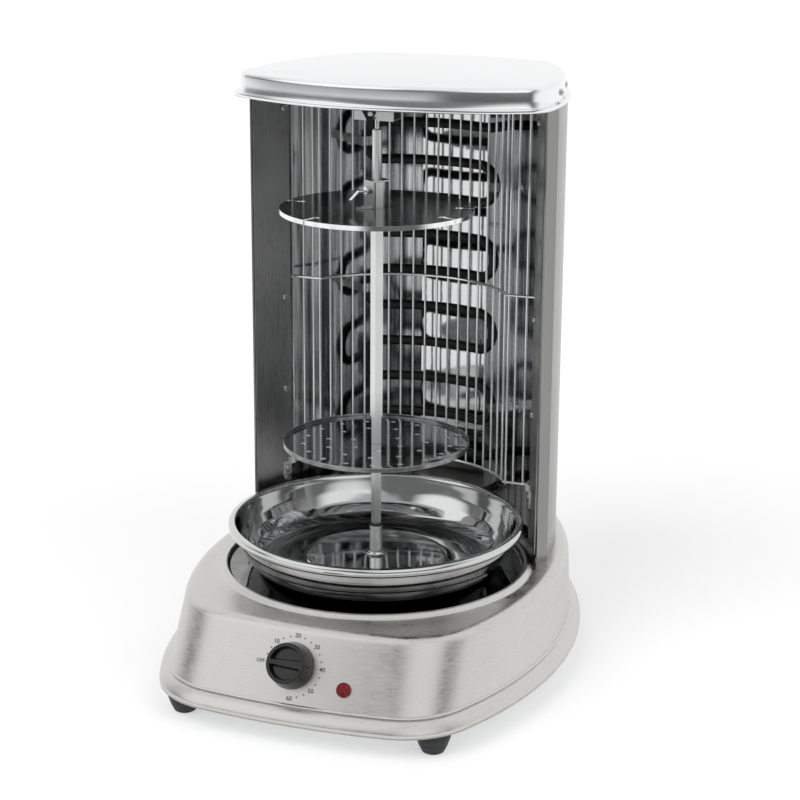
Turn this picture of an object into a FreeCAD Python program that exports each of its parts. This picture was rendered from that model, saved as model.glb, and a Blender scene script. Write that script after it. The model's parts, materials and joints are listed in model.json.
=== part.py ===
"""Doner kebab grill: a heated, guarded housing behind a motor-driven spindle over a drip pan.

Millimetres. X to the right, Y to the back, Z up. The origin is on the table under the middle of
the base, and the part is drawn with its controls towards -Y.
"""

import FreeCAD, Part
import math
import os
from FreeCAD import Placement, Vector

os.makedirs("parts", exist_ok=True)

# Sheet metal, play and clearances
sheet = 0.8
reflector_sheet = 0.6
bracket_sheet = 1.2
gap = 0.3
running_play = 0.05
screw_play = 0.3
thread_play = 0.05
run_out = 3.0

# Base cover: outline of its flange and of its top, as half widths, reaches and arc radii
base_half_width = 168.0
base_half_depth = 222.0
base_center_y = -20.0
base_side_radius = 370.0
base_end_radius = 600.0
base_corner_radius = 70.0
top_half_width = 153.0
top_front_reach = 183.0
top_rear_reach = 198.0
top_center_y = -6.0
top_side_radius = 330.0
top_end_radius = 600.0
top_corner_radius = 65.0
top_edge_radius = 10.0
base_height = 89.0

# Flange, its ledge and the bead above it
plate_drop = 1.5
lip_height = 4.0
ledge_rise = 8.5
ledge_width = 9.0
bead_half_height = 1.2
bead_width = 1.2
panel_setback = 9.6

# Round collar on the base, and the floor inside it
spindle_y = -26.0
collar_radius = 135.0
collar_height = 3.7
collar_slope_width = 5.5
collar_crest_width = 2.3
collar_inner_slope = 2.2
floor_drop = 0.4

# Bottom plate and feet
plate_sheet = 1.2
foot_height = 22.0
foot_front_x = 107.6
foot_front_y = -182.0
foot_rear_x = 92.0
foot_rear_y = 166.0
foot_top_radius = 14.0
foot_bottom_radius = 9.0
foot_recess_radius = 5.5
foot_recess_depth = 9.0
foot_screw_radius = 2.0
foot_head_radius = 4.2
foot_head_height = 2.4
foot_nut_radius = 4.0
foot_nut_height = 3.2
tab_length = 14.0
tab_width = 20.0
tab_screw_setback = 8.0
vent_length = 34.0
vent_width = 4.0
vent_pitch = 12.0
vent_rows = 5
vent_x = 70.0

# Timer and its knob, on the front panel
knob_x = -5.4
knob_z = 61.5
knob_radius = 18.75
knob_face_radius = 16.3
knob_depth = 15.0
knob_edge_radius = 1.3
knob_bar_width = 4.6
knob_scoop_radius = 13.3
knob_scoop_depth = 5.0
knob_recess_radius = 9.0
knob_recess_depth = 4.2
timer_width = 44.0
timer_depth = 30.0
timer_standoff = 1.0
timer_neck_radius = 4.5
timer_nut_radius = 6.5
timer_nut_height = 2.4
timer_shaft_radius = 3.0
timer_shaft_flat = 2.2
timer_shaft_reach = 9.0
timer_shaft_depth = 12.0
timer_turn = 270.0

# Power lamp, on the front panel
lamp_x = 40.6
lamp_z = 49.9
lamp_radius = 5.9
lamp_rim_height = 1.2
lamp_dome_height = 3.2
lamp_facets = 12
lamp_holder_radius = 4.6
lamp_holder_length = 22.0
lamp_clip_radius = 7.5
lamp_clip_height = 2.0

# Drive: gear motor under the floor, bush and hub
hub_radius = 5.5
hub_top = 122.5
hub_collar_radius = 9.0
hub_collar_height = 4.0
hub_drop = 9.0
hub_bore_depth = 14.0
socket_depth = 9.0
bush_radius = 8.0
bush_flange_radius = 11.0
bush_flange_height = 0.8
bush_drop = 3.5
output_radius = 3.5
output_flat = 2.6
bracket_drop = 10.6
bracket_half_width = 10.0
bracket_leg_x = 40.0
bracket_foot_length = 15.0
motor_screw_radius = 1.6
motor_screw_head = 3.2
gear_case_radius = 30.0
gear_case_height = 14.0
motor_radius = 25.0
motor_height = 20.0

# Mains inlet and terminal block
gland_x = -36.0
gland_z = 50.0
gland_radius = 8.0
gland_neck_radius = 6.2
gland_bore_radius = 3.6
gland_height = 7.0
gland_length = 12.0
gland_nut_height = 2.0
terminal_x = -70.0
terminal_y = 75.0
terminal_length = 40.0
terminal_width = 20.0
terminal_height = 16.0
terminal_ways = 4
terminal_depth = 5.0
lead_radius = 1.2
lead_rise = 8.0
lead_side_x = -60.0
heater_lead_x = 86.0
heater_lead_y = 120.0
heater_lead_pitch = 7.0

# Drip pan
pan_radius = 126.0
pan_rim_height = 40.2
pan_rim_width = 6.0
pan_lip_drop = 5.2
pan_foot_radius = 101.0
pan_side_bulge = 3.5
pan_plateau_radius = 60.0
pan_plateau_rise = 7.6
pan_plateau_slope = 7.0
pan_hole_radius = 7.0
pan_collar_height = 3.0

# Spindle
bar_low = 5.9
bar_high = 7.4
bar_shoulder = 219.0
neck_length = 43.5
neck_radius = 4.0
neck_drop = 19.0
pin_radius = 1.85
pin_length = 9.9
tongue_length = 6.5
tip_chamfer = 0.8
spindle_turn = 55.0
seal_radius = 5.5
seal_height = 1.6
socket_play = 0.1

# Discs on the spindle
lower_disc_radius = 78.5
lower_disc_top = 195.7
lower_disc_rim = 3.0
disc_sheet = 1.0
disc_play = 0.3
hole_radius = 2.2
hole_ring_radii = (22.0, 42.0, 62.0)
hole_ring_step = 11.0
disc_pin_radius = 1.25
disc_pin_length = 17.0
upper_disc_radius = 80.0
upper_disc_drop = 20.9
upper_disc_rim = 4.0
upper_hole = 8.4
notch_angles = (18.0, 116.0, 180.0, 244.0, 342.0)
notch_width = 2.6
notch_length = 13.0
notch_end_radius = 3.2

# Clamp bracket and its screw, on the upper disc
clamp_width = 16.8
clamp_depth = 14.0
clamp_height = 23.0
clamp_sheet = 1.5
clamp_foot = 10.0
clamp_screw_height = 14.6
clamp_screw_radius = 2.0
clamp_collar_radius = 3.2
clamp_collar_length = 3.0
clamp_wire_radius = 1.4
clamp_wire_reach = 7.0
clamp_wire_drop = 6.0
rivet_radius = 1.2
rivet_head_radius = 2.2
rivet_head_height = 1.0

# Housing wall
wall_ledge = 16.8
wall_center_y = 21.0
wall_side_radius = 257.5
wall_end_radius = 335.5
wall_corner_radius = 35.8
fold_y = 31.0
front_strip_width = 4.7
front_strip_depth = 15.6
hem_width = 6.0
wall_foot_width = 8.0
wall_screw_radius = 1.6
wall_screw_head = 3.0
wall_vent_length = 60.0
wall_vent_height = 3.0
wall_vent_pitch = 9.0
wall_vents = 5
wall_vent_low = 120.0
wall_vent_drop = 61.0

# Liners and reflector
liner_gap = 2.5
liner_front_y = 16.0
liner_back_x = 112.0
liner_back_y = 54.0
liner_bottom = 98.0
liner_top_gap = 1.0
liner_screw_z = (128.0, 212.0, 296.0)
liner_screw_drop = 18.0
liner_screw_setback = 5.8
reflector_gap = 4.6
reflector_bottom = 96.0
reflector_flange = 15.0
reflector_side_x = 118.0
reflector_side_y = 66.0
reflector_back_x = 31.5

# Wire guard
guard_center_y = 7.0
guard_radius = 102.0
guard_tab_y = 62.0
guard_tab_end = 113.6
guard_rod_radius = 1.0
guard_wire_radius = 1.25
guard_bite = 0.5
guard_rods = 20
guard_tab_rods = (94.0, 103.0)
guard_low_wire = 144.0
guard_mid_wire = 312.0
clip_x = 108.5
clip_sheet = 1.0
clip_height = 12.0
clip_width = 9.0
clip_screw_drop = 6.6

# Heating element
heater_offset = 11.0
heater_tube_radius = 4.3
heater_half_angle = 23.5
heater_first_run = 149.5
heater_pitch = 33.0
heater_top_room = 34.5
heater_runs = 10
heater_tail_radius = 9.0
heater_tail_past = 3.0
terminal_cap_radius = 6.4
terminal_cap_length = 7.0
terminal_pin_radius = 1.2
terminal_pin_length = 3.0
heater_clip_height = 8.0
heater_clip_sheet = 1.0
heater_clip_bends_left = (4, 8)
heater_clip_bends_right = (1, 7)

# Lid, top plate and top bracket
lid_overhang = 2.5
lid_front_reach = 72.3
lid_front_radius = 248.4
lid_front_corner = 30.1
lid_lip_width = 5.0
lid_lip_drop = 2.5
lid_skirt_height = 13.5
lid_edge_radius = 4.0
lid_crown = 4.0
lid_screw_y = (49.0, 99.0)
lid_screw_rise = 7.0
lid_screw_head = 2.8
lid_tab_width = 14.0
lid_tab_height = 12.0
top_plate_sheet = 1.0
top_bracket_half_width = 17.0
top_bracket_drop = 11.5
top_bracket_front = 8.0
top_bracket_back = 10.0
top_bracket_flange = 12.0
pin_play = 0.45
slot_height = 2.9
keeper_x = -1.7
keeper_drop = 5.6
keeper_sheet = 1.5
keeper_screw_radius = 1.5
keeper_screw_head = 2.4

# Small visible screws
small_screw_radius = 2.0
small_head_radius = 3.2
small_head_height = 1.6
small_screw_length = 6.0
recess_width = 0.8
recess_depth = 0.8

# Levels and places that follow from the values above
flange_low = foot_height - plate_drop
lip_top = flange_low + lip_height
ledge_top = lip_top + ledge_rise
bead_middle = ledge_top + bead_half_height
panel_low = bead_middle + bead_half_height
plate_top = foot_height + plate_sheet
floor_top = base_height - floor_drop
floor_under = floor_top - sheet
wall_half_width = top_half_width - wall_ledge
wall_rear = top_rear_reach - wall_ledge
wall_reach = wall_rear - wall_center_y
wall_top = heater_first_run + (heater_runs - 1) * heater_pitch + heater_top_room
neck_top = wall_top - neck_drop
bar_top = neck_top - neck_length
upper_disc_top = bar_top - upper_disc_drop
reflector_back = wall_rear - sheet - reflector_gap
heater_radius = guard_radius + heater_offset
top_plate_top = wall_top + top_plate_sheet
hub_low = floor_under - hub_drop
bar_bottom = hub_top + gap - tongue_length
bracket_low = floor_under - bracket_drop
spindle = Vector(0, spindle_y, 0)


def line(half_width, front, rear, side, front_radius, rear_radius, front_corner, rear_corner, y):
    """The sizes of one eight-arc outline, with y as the place of its widest points."""
    return dict(half_width=half_width, front=front, rear=rear, side=side, front_radius=front_radius,
                rear_radius=rear_radius, front_corner=front_corner, rear_corner=rear_corner, y=y)


base_line = line(base_half_width, base_half_depth + base_center_y, base_half_depth - base_center_y,
                 base_side_radius, base_end_radius, base_end_radius, base_corner_radius, base_corner_radius,
                 base_center_y)
top_line = line(top_half_width, top_front_reach + top_center_y, top_rear_reach - top_center_y,
                top_side_radius, top_end_radius, top_end_radius, top_corner_radius, top_corner_radius,
                top_center_y)
wall_line = line(wall_half_width, wall_reach, wall_reach, wall_side_radius,
                 wall_end_radius, wall_end_radius, wall_corner_radius, wall_corner_radius, wall_center_y)
lid_line = line(wall_half_width + lid_overhang, lid_front_reach, wall_reach + lid_overhang,
                wall_side_radius + lid_overhang, lid_front_radius, wall_end_radius + lid_overhang,
                lid_front_corner, wall_corner_radius + lid_overhang, wall_center_y)


def corner_points(half_width, reach, side, end, corner):
    """Where a corner arc leaves the side arc, its middle, and where it meets the end arc."""
    side_x = half_width - side
    end_y = end - reach
    side_gap = side - corner
    end_gap = end - corner
    apart = math.hypot(side_x, end_y)
    along = (side_gap ** 2 - end_gap ** 2 + apart ** 2) / (2 * apart)
    across = math.sqrt(side_gap ** 2 - along ** 2)
    to_x = -side_x / apart
    to_y = end_y / apart
    crossings = []
    for sign in (1, -1):
        crossings.append((side_x + to_x * along - sign * to_y * across, to_y * along + sign * to_x * across))
    x, y = max(crossings, key=lambda p: p[0] - p[1])
    from_side = math.hypot(x - side_x, y)
    from_end = math.hypot(x, y - end_y)
    start = (side_x + (x - side_x) / from_side * side, y / from_side * side)
    finish = (x / from_end * end, end_y + (y - end_y) / from_end * end)
    out = (start[0] / 2 + finish[0] / 2 - x, start[1] / 2 + finish[1] / 2 - y)
    length = math.hypot(*out)
    middle = (x + out[0] / length * corner, y + out[1] / length * corner)
    return start, middle, finish


def outline(z, shape, inset=0.0, scale=1.0):
    """Closed wire of eight tangent arcs at height z, drawn in by inset and then scaled."""
    value = {key: (size - inset) * scale for key, size in shape.items() if key != "y"}
    front = corner_points(value["half_width"], value["front"], value["side"],
                          value["front_radius"], value["front_corner"])
    rear = corner_points(value["half_width"], value["rear"], value["side"],
                         value["rear_radius"], value["rear_corner"])

    def at(point, x_sign=1, y_sign=1):
        return Vector(point[0] * x_sign, point[1] * y_sign + shape["y"], z)

    ends = [at((0, -value["front"])), at((value["half_width"], 0)),
            at((0, value["rear"])), at((-value["half_width"], 0))]
    arcs = [Part.Arc(at(front[2], -1), ends[0], at(front[2])),
            Part.Arc(at(front[2]), at(front[1]), at(front[0])),
            Part.Arc(at(front[0]), ends[1], at(rear[0], 1, -1)),
            Part.Arc(at(rear[0], 1, -1), at(rear[1], 1, -1), at(rear[2], 1, -1)),
            Part.Arc(at(rear[2], 1, -1), ends[2], at(rear[2], -1, -1)),
            Part.Arc(at(rear[2], -1, -1), at(rear[1], -1, -1), at(rear[0], -1, -1)),
            Part.Arc(at(rear[0], -1, -1), ends[3], at(front[0], -1)),
            Part.Arc(at(front[0], -1), at(front[1], -1), at(front[2], -1))]
    return Part.Wire([arc.toShape() for arc in arcs])


def prism(shape, inset, low, high):
    """Upright solid with the outline of shape, drawn in by inset."""
    return Part.Face(outline(low, shape, inset)).extrude(Vector(0, 0, high - low))


def side_point(shape, y, inset=0.0):
    """Point of the right side arc at y, drawn in by inset, and the outward direction there."""
    middle_x = shape["half_width"] - shape["side"]
    rise = y - shape["y"]
    out = Vector(math.sqrt(shape["side"] ** 2 - rise ** 2), rise, 0)
    out.normalize()
    return Vector(middle_x, shape["y"], 0) + out * (shape["side"] - inset), out


def rear_point(shape, x, inset=0.0):
    """Point of the rear arc at x, drawn in by inset."""
    radius = shape["rear_radius"]
    middle_y = shape["y"] + shape["rear"] - radius
    out = Vector(x, math.sqrt(radius ** 2 - x ** 2), 0)
    out.normalize()
    return Vector(0, middle_y, 0) + out * (radius - inset)


def block(x0, x1, y0, y1, z0, z1):
    return Part.makeBox(x1 - x0, y1 - y0, z1 - z0, Vector(x0, y0, z0))


def rod(radius, start, end):
    """Round bar between two points."""
    way = end - start
    return Part.makeCylinder(radius, way.Length, start, way)


def plate(points, low, high):
    """Upright prism over a closed polygon of (x, y) points."""
    corners = [Vector(x, y, low) for x, y in points]
    return Part.Face(Part.makePolygon(corners + corners[:1])).extrude(Vector(0, 0, high - low))


def turned(profile, center=spindle):
    """Solid of revolution of a closed (radius, z) profile about the upright axis at center."""
    points = [Vector(radius, 0, z) for radius, z in profile]
    face = Part.Face(Part.makePolygon(points + points[:1]))
    solid = face.revolve(Vector(0, 0, 0), Vector(0, 0, 1), 360)
    solid.translate(center)
    return solid


def frame_at(origin, normal, up=Vector(0, 0, 1)):
    """Placement with local Z along normal and local Y as near to up as that allows."""
    n = Vector(normal)
    n.normalize()
    v = up - n * up.dot(n)
    v.normalize()
    u = v.cross(n)
    return Placement(FreeCAD.Matrix(u.x, v.x, n.x, origin.x, u.y, v.y, n.y, origin.y,
                                    u.z, v.z, n.z, origin.z, 0, 0, 0, 1))


def placed(solid, frame):
    copy = solid.copy()
    copy.Placement = frame.multiply(copy.Placement)
    return copy


def mirrored(solid):
    return solid.mirror(Vector(0, 0, 0), Vector(1, 0, 0))


def both_sides(solid):
    return [solid, mirrored(solid)]


def fused(solids):
    first, *others = solids
    return first.fuse(others).removeSplitter()


def screw(frame, radius=small_screw_radius, head=small_head_radius, length=small_screw_length,
          height=small_head_height):
    """Cross-head screw: head on local +Z, shank along local -Z."""
    body = Part.makeCylinder(head, height, Vector(0, 0, 0))
    rim = [edge for edge in body.Edges if all(abs(v.Z - height) < 1e-6 for v in edge.Vertexes)]
    body = body.makeFillet(height * 0.6, rim)
    body = body.fuse(Part.makeCylinder(radius, length, Vector(0, 0, -length)))
    for wide, deep in ((head * 1.1, recess_width), (recess_width, head * 1.1)):
        body = body.cut(block(-wide / 2, wide / 2, -deep / 2, deep / 2, height - recess_depth, height + gap))
    return placed(body.removeSplitter(), frame)


def on_spindle(solid):
    """Turn a solid drawn on the spindle's own axes to its place at rest."""
    copy = solid.copy()
    copy.rotate(Vector(0, 0, 0), Vector(0, 0, 1), spindle_turn)
    copy.translate(spindle)
    return copy


def save(name, *solids):
    pieces = []
    for solid in solids:
        pieces += solid.Solids
    shape = pieces[0] if len(pieces) == 1 else Part.makeCompound(pieces)
    if not shape.isValid():
        print("not valid:", name)
    shape.exportStep("parts/" + name + ".step")
    bound = shape.BoundBox
    print("%-18s %2d solids %9.0f mm3  x %6.1f %6.1f  y %6.1f %6.1f  z %6.1f %6.1f" % (
        name, len(pieces), shape.Volume, bound.XMin, bound.XMax, bound.YMin, bound.YMax,
        bound.ZMin, bound.ZMax))


def panel_frame(x, z, rear=False):
    """Frame on the sloping panel of the base at x and height z, with local Z pointing outwards."""
    share = (z - panel_low) / (base_height - panel_low)
    low_reach = base_half_depth - panel_setback
    top_reach = top_rear_reach if rear else top_front_reach
    reach = low_reach + (top_reach - low_reach) * share
    radius = (base_end_radius - panel_setback) * (1 - share) + top_end_radius * share
    slope = math.atan((low_reach - top_reach) / (base_height - panel_low))
    sign = 1 if rear else -1
    level = Vector(x / radius, sign * math.sqrt(1 - (x / radius) ** 2), 0)
    origin = level * radius + Vector(0, sign * (reach - radius), z)
    return frame_at(origin, level * math.cos(slope) + Vector(0, 0, math.sin(slope)))


def base_body(inset, high, edge_radius):
    """The pressed cover as a solid: lip, ledge, bead, sloping panels and rounded top edge."""
    wires = [outline(flange_low, base_line, inset),
             outline(lip_top, base_line, inset),
             outline(ledge_top, base_line, inset + ledge_width),
             outline(bead_middle, base_line, inset + ledge_width - bead_width),
             outline(panel_low, base_line, inset + panel_setback),
             outline(high, top_line, inset)]
    solid = Part.makeLoft(wires, True, True)
    rim = [edge for edge in solid.Edges if all(abs(v.Z - high) < 1e-4 for v in edge.Vertexes)]
    return solid.makeFillet(edge_radius, rim)


def tab_places():
    """Centre of each inward tab of the base cover, and the screw through it."""
    x = base_half_width - sheet - tab_screw_setback
    y = base_half_depth - sheet - tab_screw_setback
    return [Vector(x, base_center_y, 0), Vector(-x, base_center_y, 0), Vector(0, y, 0), Vector(0, -y, 0)]


def wall_foot_places():
    """Where the wall's foot flange is screwed to the base."""
    inset = sheet + wall_foot_width / 2
    side, _ = side_point(wall_line, wall_center_y + wall_reach / 2, inset)
    places = [side, Vector(-side.x, side.y, 0)]
    for x in (-wall_half_width / 2, 0, wall_half_width / 2):
        places.append(rear_point(wall_line, x, inset))
    return places


def motor_screw_places():
    reach = bracket_leg_x + bracket_foot_length / 2
    return [Vector(reach, spindle_y, 0), Vector(-reach, spindle_y, 0)]


def make_base_shell():
    shell = base_body(0, base_height, top_edge_radius)
    shell = shell.cut(base_body(sheet, base_height - sheet, top_edge_radius - sheet))
    crest = base_height + collar_height
    slope_in = collar_radius - collar_slope_width
    crest_in = slope_in - collar_crest_width
    floor_edge = crest_in - collar_inner_slope
    under = sheet * 0.9
    hole = bush_radius + running_play
    dish = turned([(collar_radius + 1, base_height), (collar_radius, base_height),
                   (slope_in, crest), (crest_in, crest), (floor_edge, floor_top), (hole, floor_top),
                   (hole, floor_under), (floor_edge + under, floor_under),
                   (crest_in + under, crest - sheet), (slope_in - under, crest - sheet),
                   (collar_radius - under, base_height - sheet), (collar_radius + 1, base_height - sheet)])
    opening = turned([(0, floor_under - run_out), (collar_radius + 0.5, floor_under - run_out),
                      (collar_radius + 0.5, crest + run_out), (0, crest + run_out)])
    shell = shell.cut(opening).fuse(dish)
    for place in tab_places():
        along = (place - Vector(0, base_center_y, 0)).normalize()
        frame = frame_at(place + along * (tab_screw_setback + sheet / 2), Vector(0, 0, 1), along)
        tab = block(-tab_width / 2, tab_width / 2, -tab_length, 0, 0, sheet)
        shell = shell.fuse(placed(tab, frame).translated(Vector(0, 0, plate_top)))
    for place in tab_places():
        shell = shell.cut(rod(small_screw_radius + thread_play, Vector(place.x, place.y, plate_top - run_out),
                              Vector(place.x, place.y, plate_top + run_out)))
    for place in wall_foot_places():
        shell = shell.cut(rod(wall_screw_radius + thread_play, Vector(place.x, place.y, base_height - run_out),
                              Vector(place.x, place.y, base_height + run_out)))
    for place in heater_lead_places():
        shell = shell.cut(rod(lead_radius + 2 * gap, Vector(place.x, place.y, base_height - run_out),
                              Vector(place.x, place.y, base_height + run_out)))
    for place in motor_screw_places():
        shell = shell.cut(rod(motor_screw_radius + screw_play, Vector(place.x, place.y, floor_under - run_out),
                              Vector(place.x, place.y, floor_top + run_out)))
    holes = [(panel_frame(knob_x, knob_z), timer_neck_radius + screw_play),
             (panel_frame(lamp_x, lamp_z), lamp_holder_radius + screw_play),
             (panel_frame(gland_x, gland_z, True), gland_neck_radius + screw_play)]
    for frame, radius in holes:
        drill = Part.makeCylinder(radius, 2 * run_out, Vector(0, 0, -run_out))
        shell = shell.cut(placed(drill, frame))
    save("base_shell", shell.removeSplitter())


def make_bottom_plate():
    solid = prism(base_line, sheet + gap, foot_height, plate_top)
    cuts = []
    for place in tab_places():
        cuts.append(rod(small_screw_radius + screw_play, Vector(place.x, place.y, foot_height - run_out),
                        Vector(place.x, place.y, plate_top + run_out)))
    for place in foot_places():
        cuts.append(rod(foot_screw_radius + screw_play, Vector(place.x, place.y, foot_height - run_out),
                        Vector(place.x, place.y, plate_top + run_out)))
    for side in (-1, 1):
        for row in range(vent_rows):
            y = base_center_y + (row - (vent_rows - 1) / 2) * vent_pitch
            cuts.append(block(side * vent_x - vent_length / 2, side * vent_x + vent_length / 2,
                              y - vent_width / 2, y + vent_width / 2,
                              foot_height - run_out, plate_top + run_out))
    save("bottom_plate", solid.cut(cuts))
    low = Vector(0, 0, foot_height)
    screws = [screw(frame_at(place + low, Vector(0, 0, -1), Vector(0, 1, 0)), length=plate_sheet + run_out)
              for place in tab_places()]
    save("plate_screws", *screws)


def foot_places():
    front = Vector(foot_front_x, foot_front_y, 0)
    rear = Vector(foot_rear_x, foot_rear_y, 0)
    return [front, Vector(-front.x, front.y, 0), rear, Vector(-rear.x, rear.y, 0)]


def make_feet():
    dome = foot_height * 0.3
    profile = [(foot_screw_radius + screw_play, foot_recess_depth), (foot_recess_radius, foot_recess_depth),
               (foot_recess_radius, 0), (foot_bottom_radius - 2, 0), (foot_bottom_radius, 1.2),
               (foot_bottom_radius + 2.6, dome), (foot_top_radius, foot_height * 0.62),
               (foot_top_radius, foot_height), (foot_screw_radius + screw_play, foot_height)]
    save("feet", *[turned(profile, place) for place in foot_places()])
    screws = []
    for place in foot_places():
        seat = foot_recess_depth
        shank = plate_top + foot_nut_height + 2 - seat
        frame = frame_at(place + Vector(0, 0, seat), Vector(0, 0, -1), Vector(0, 1, 0))
        screws.append(screw(frame, foot_screw_radius, foot_head_radius, shank, foot_head_height))
        nut = hexagon(foot_nut_radius, foot_nut_height).cut(
            Part.makeCylinder(foot_screw_radius + thread_play, foot_nut_height))
        screws.append(nut.translated(place + Vector(0, 0, plate_top)))
    save("foot_screws", *screws)


def hexagon(radius, height):
    points = []
    for side in range(6):
        angle = math.radians(60 * side)
        points.append((radius * math.cos(angle), radius * math.sin(angle)))
    return plate(points, 0, height)


def shaft_with_flat(radius, flat, length):
    return Part.makeCylinder(radius, length).cut(block(-radius, radius, flat, radius, 0, length))


def make_timer():
    frame = panel_frame(knob_x, knob_z)
    front = -sheet - timer_standoff
    half = timer_width / 2
    body = block(-half, half, -half, half, front - timer_depth, front)
    body = body.makeFillet(2.0, [edge for edge in body.Edges if abs(edge.Length - timer_depth) < 1e-6])
    neck_top = timer_nut_height + gap + 0.6
    body = body.fuse(Part.makeCylinder(timer_neck_radius, neck_top - front, Vector(0, 0, front)))
    shoulder = Part.makeCylinder(timer_neck_radius + 4, timer_standoff - gap, Vector(0, 0, front))
    body = body.fuse(shoulder)
    bore = Part.makeCylinder(timer_shaft_radius + running_play, timer_shaft_depth + neck_top - front,
                             Vector(0, 0, front - timer_shaft_depth))
    save("timer_body", placed(body.cut(bore), frame))
    nut = hexagon(timer_nut_radius, timer_nut_height)
    nut = nut.cut(Part.makeCylinder(timer_neck_radius + thread_play, timer_nut_height))
    save("timer_nut", placed(nut.translated(Vector(0, 0, gap)), frame))
    start = front - timer_shaft_depth + gap
    plain = Part.makeCylinder(timer_shaft_radius, neck_top - start, Vector(0, 0, start))
    end = shaft_with_flat(timer_shaft_radius, timer_shaft_flat, timer_shaft_reach - neck_top)
    shaft = plain.fuse(end.translated(Vector(0, 0, neck_top))).removeSplitter()
    save("timer_shaft", placed(shaft, frame))
    save("timer_knob", placed(knob_solid(neck_top), frame))


def knob_solid(neck_top):
    """Tapered knob with a rounded rim, two scoops that leave a bar to grip, and a bore with a flat."""
    low = 2 * gap
    face = low + knob_depth
    knob = Part.makeCone(knob_radius, knob_face_radius, knob_depth, Vector(0, 0, low))
    rim = [e for e in knob.Edges if all(abs(v.Z - face) < 1e-6 for v in e.Vertexes)]
    knob = knob.makeFillet(knob_edge_radius, rim)
    floor = face - knob_scoop_depth
    half = knob_bar_width / 2
    scoops = Part.makeCylinder(knob_scoop_radius, 2 * knob_scoop_depth, Vector(0, 0, floor))
    scoops = scoops.cut(block(-knob_radius, knob_radius, -half, half, floor - 1, face + knob_scoop_depth + 1))
    knob = knob.cut(scoops)
    knob = knob.cut(Part.makeCylinder(knob_recess_radius, knob_recess_depth, Vector(0, 0, low)))
    bore = shaft_with_flat(timer_shaft_radius + thread_play, timer_shaft_flat + thread_play,
                           timer_shaft_reach - neck_top + 2 * gap)
    return knob.cut(bore.translated(Vector(0, 0, neck_top - gap)))


def make_lamp():
    frame = panel_frame(lamp_x, lamp_z)
    seat = 0.15
    rim = Part.makeCylinder(lamp_radius, lamp_rim_height, Vector(0, 0, seat))
    low = facet_ring(lamp_radius * 0.88, seat + lamp_rim_height, 0)
    high = facet_ring(lamp_radius * 0.4, seat + lamp_rim_height + lamp_dome_height, 0)
    dome = Part.makeLoft([low, high], True, True)
    stem = Part.makeCylinder(lamp_holder_radius * 0.6, 4 + seat, Vector(0, 0, -4))
    save("lamp_lens", placed(fused([rim, dome, stem]), frame))
    start = -sheet - lamp_holder_length
    holder = Part.makeCylinder(lamp_holder_radius, lamp_holder_length + sheet, Vector(0, 0, start))
    holder = holder.cut(Part.makeCylinder(lamp_holder_radius * 0.6 + running_play, 6, Vector(0, 0, -5)))
    save("lamp_holder", placed(holder, frame))
    back = -sheet - gap - lamp_clip_height
    clip = Part.makeCylinder(lamp_clip_radius, lamp_clip_height, Vector(0, 0, back))
    clip = clip.cut(Part.makeCylinder(lamp_holder_radius + thread_play, 3 * lamp_clip_height,
                                      Vector(0, 0, back - lamp_clip_height)))
    save("lamp_clip", placed(clip, frame))


def facet_ring(radius, z, turn):
    points = []
    for side in range(lamp_facets + 1):
        angle = 2 * math.pi * (side + turn) / lamp_facets
        points.append(Vector(radius * math.cos(angle), radius * math.sin(angle), z))
    return Part.makePolygon(points)


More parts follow.
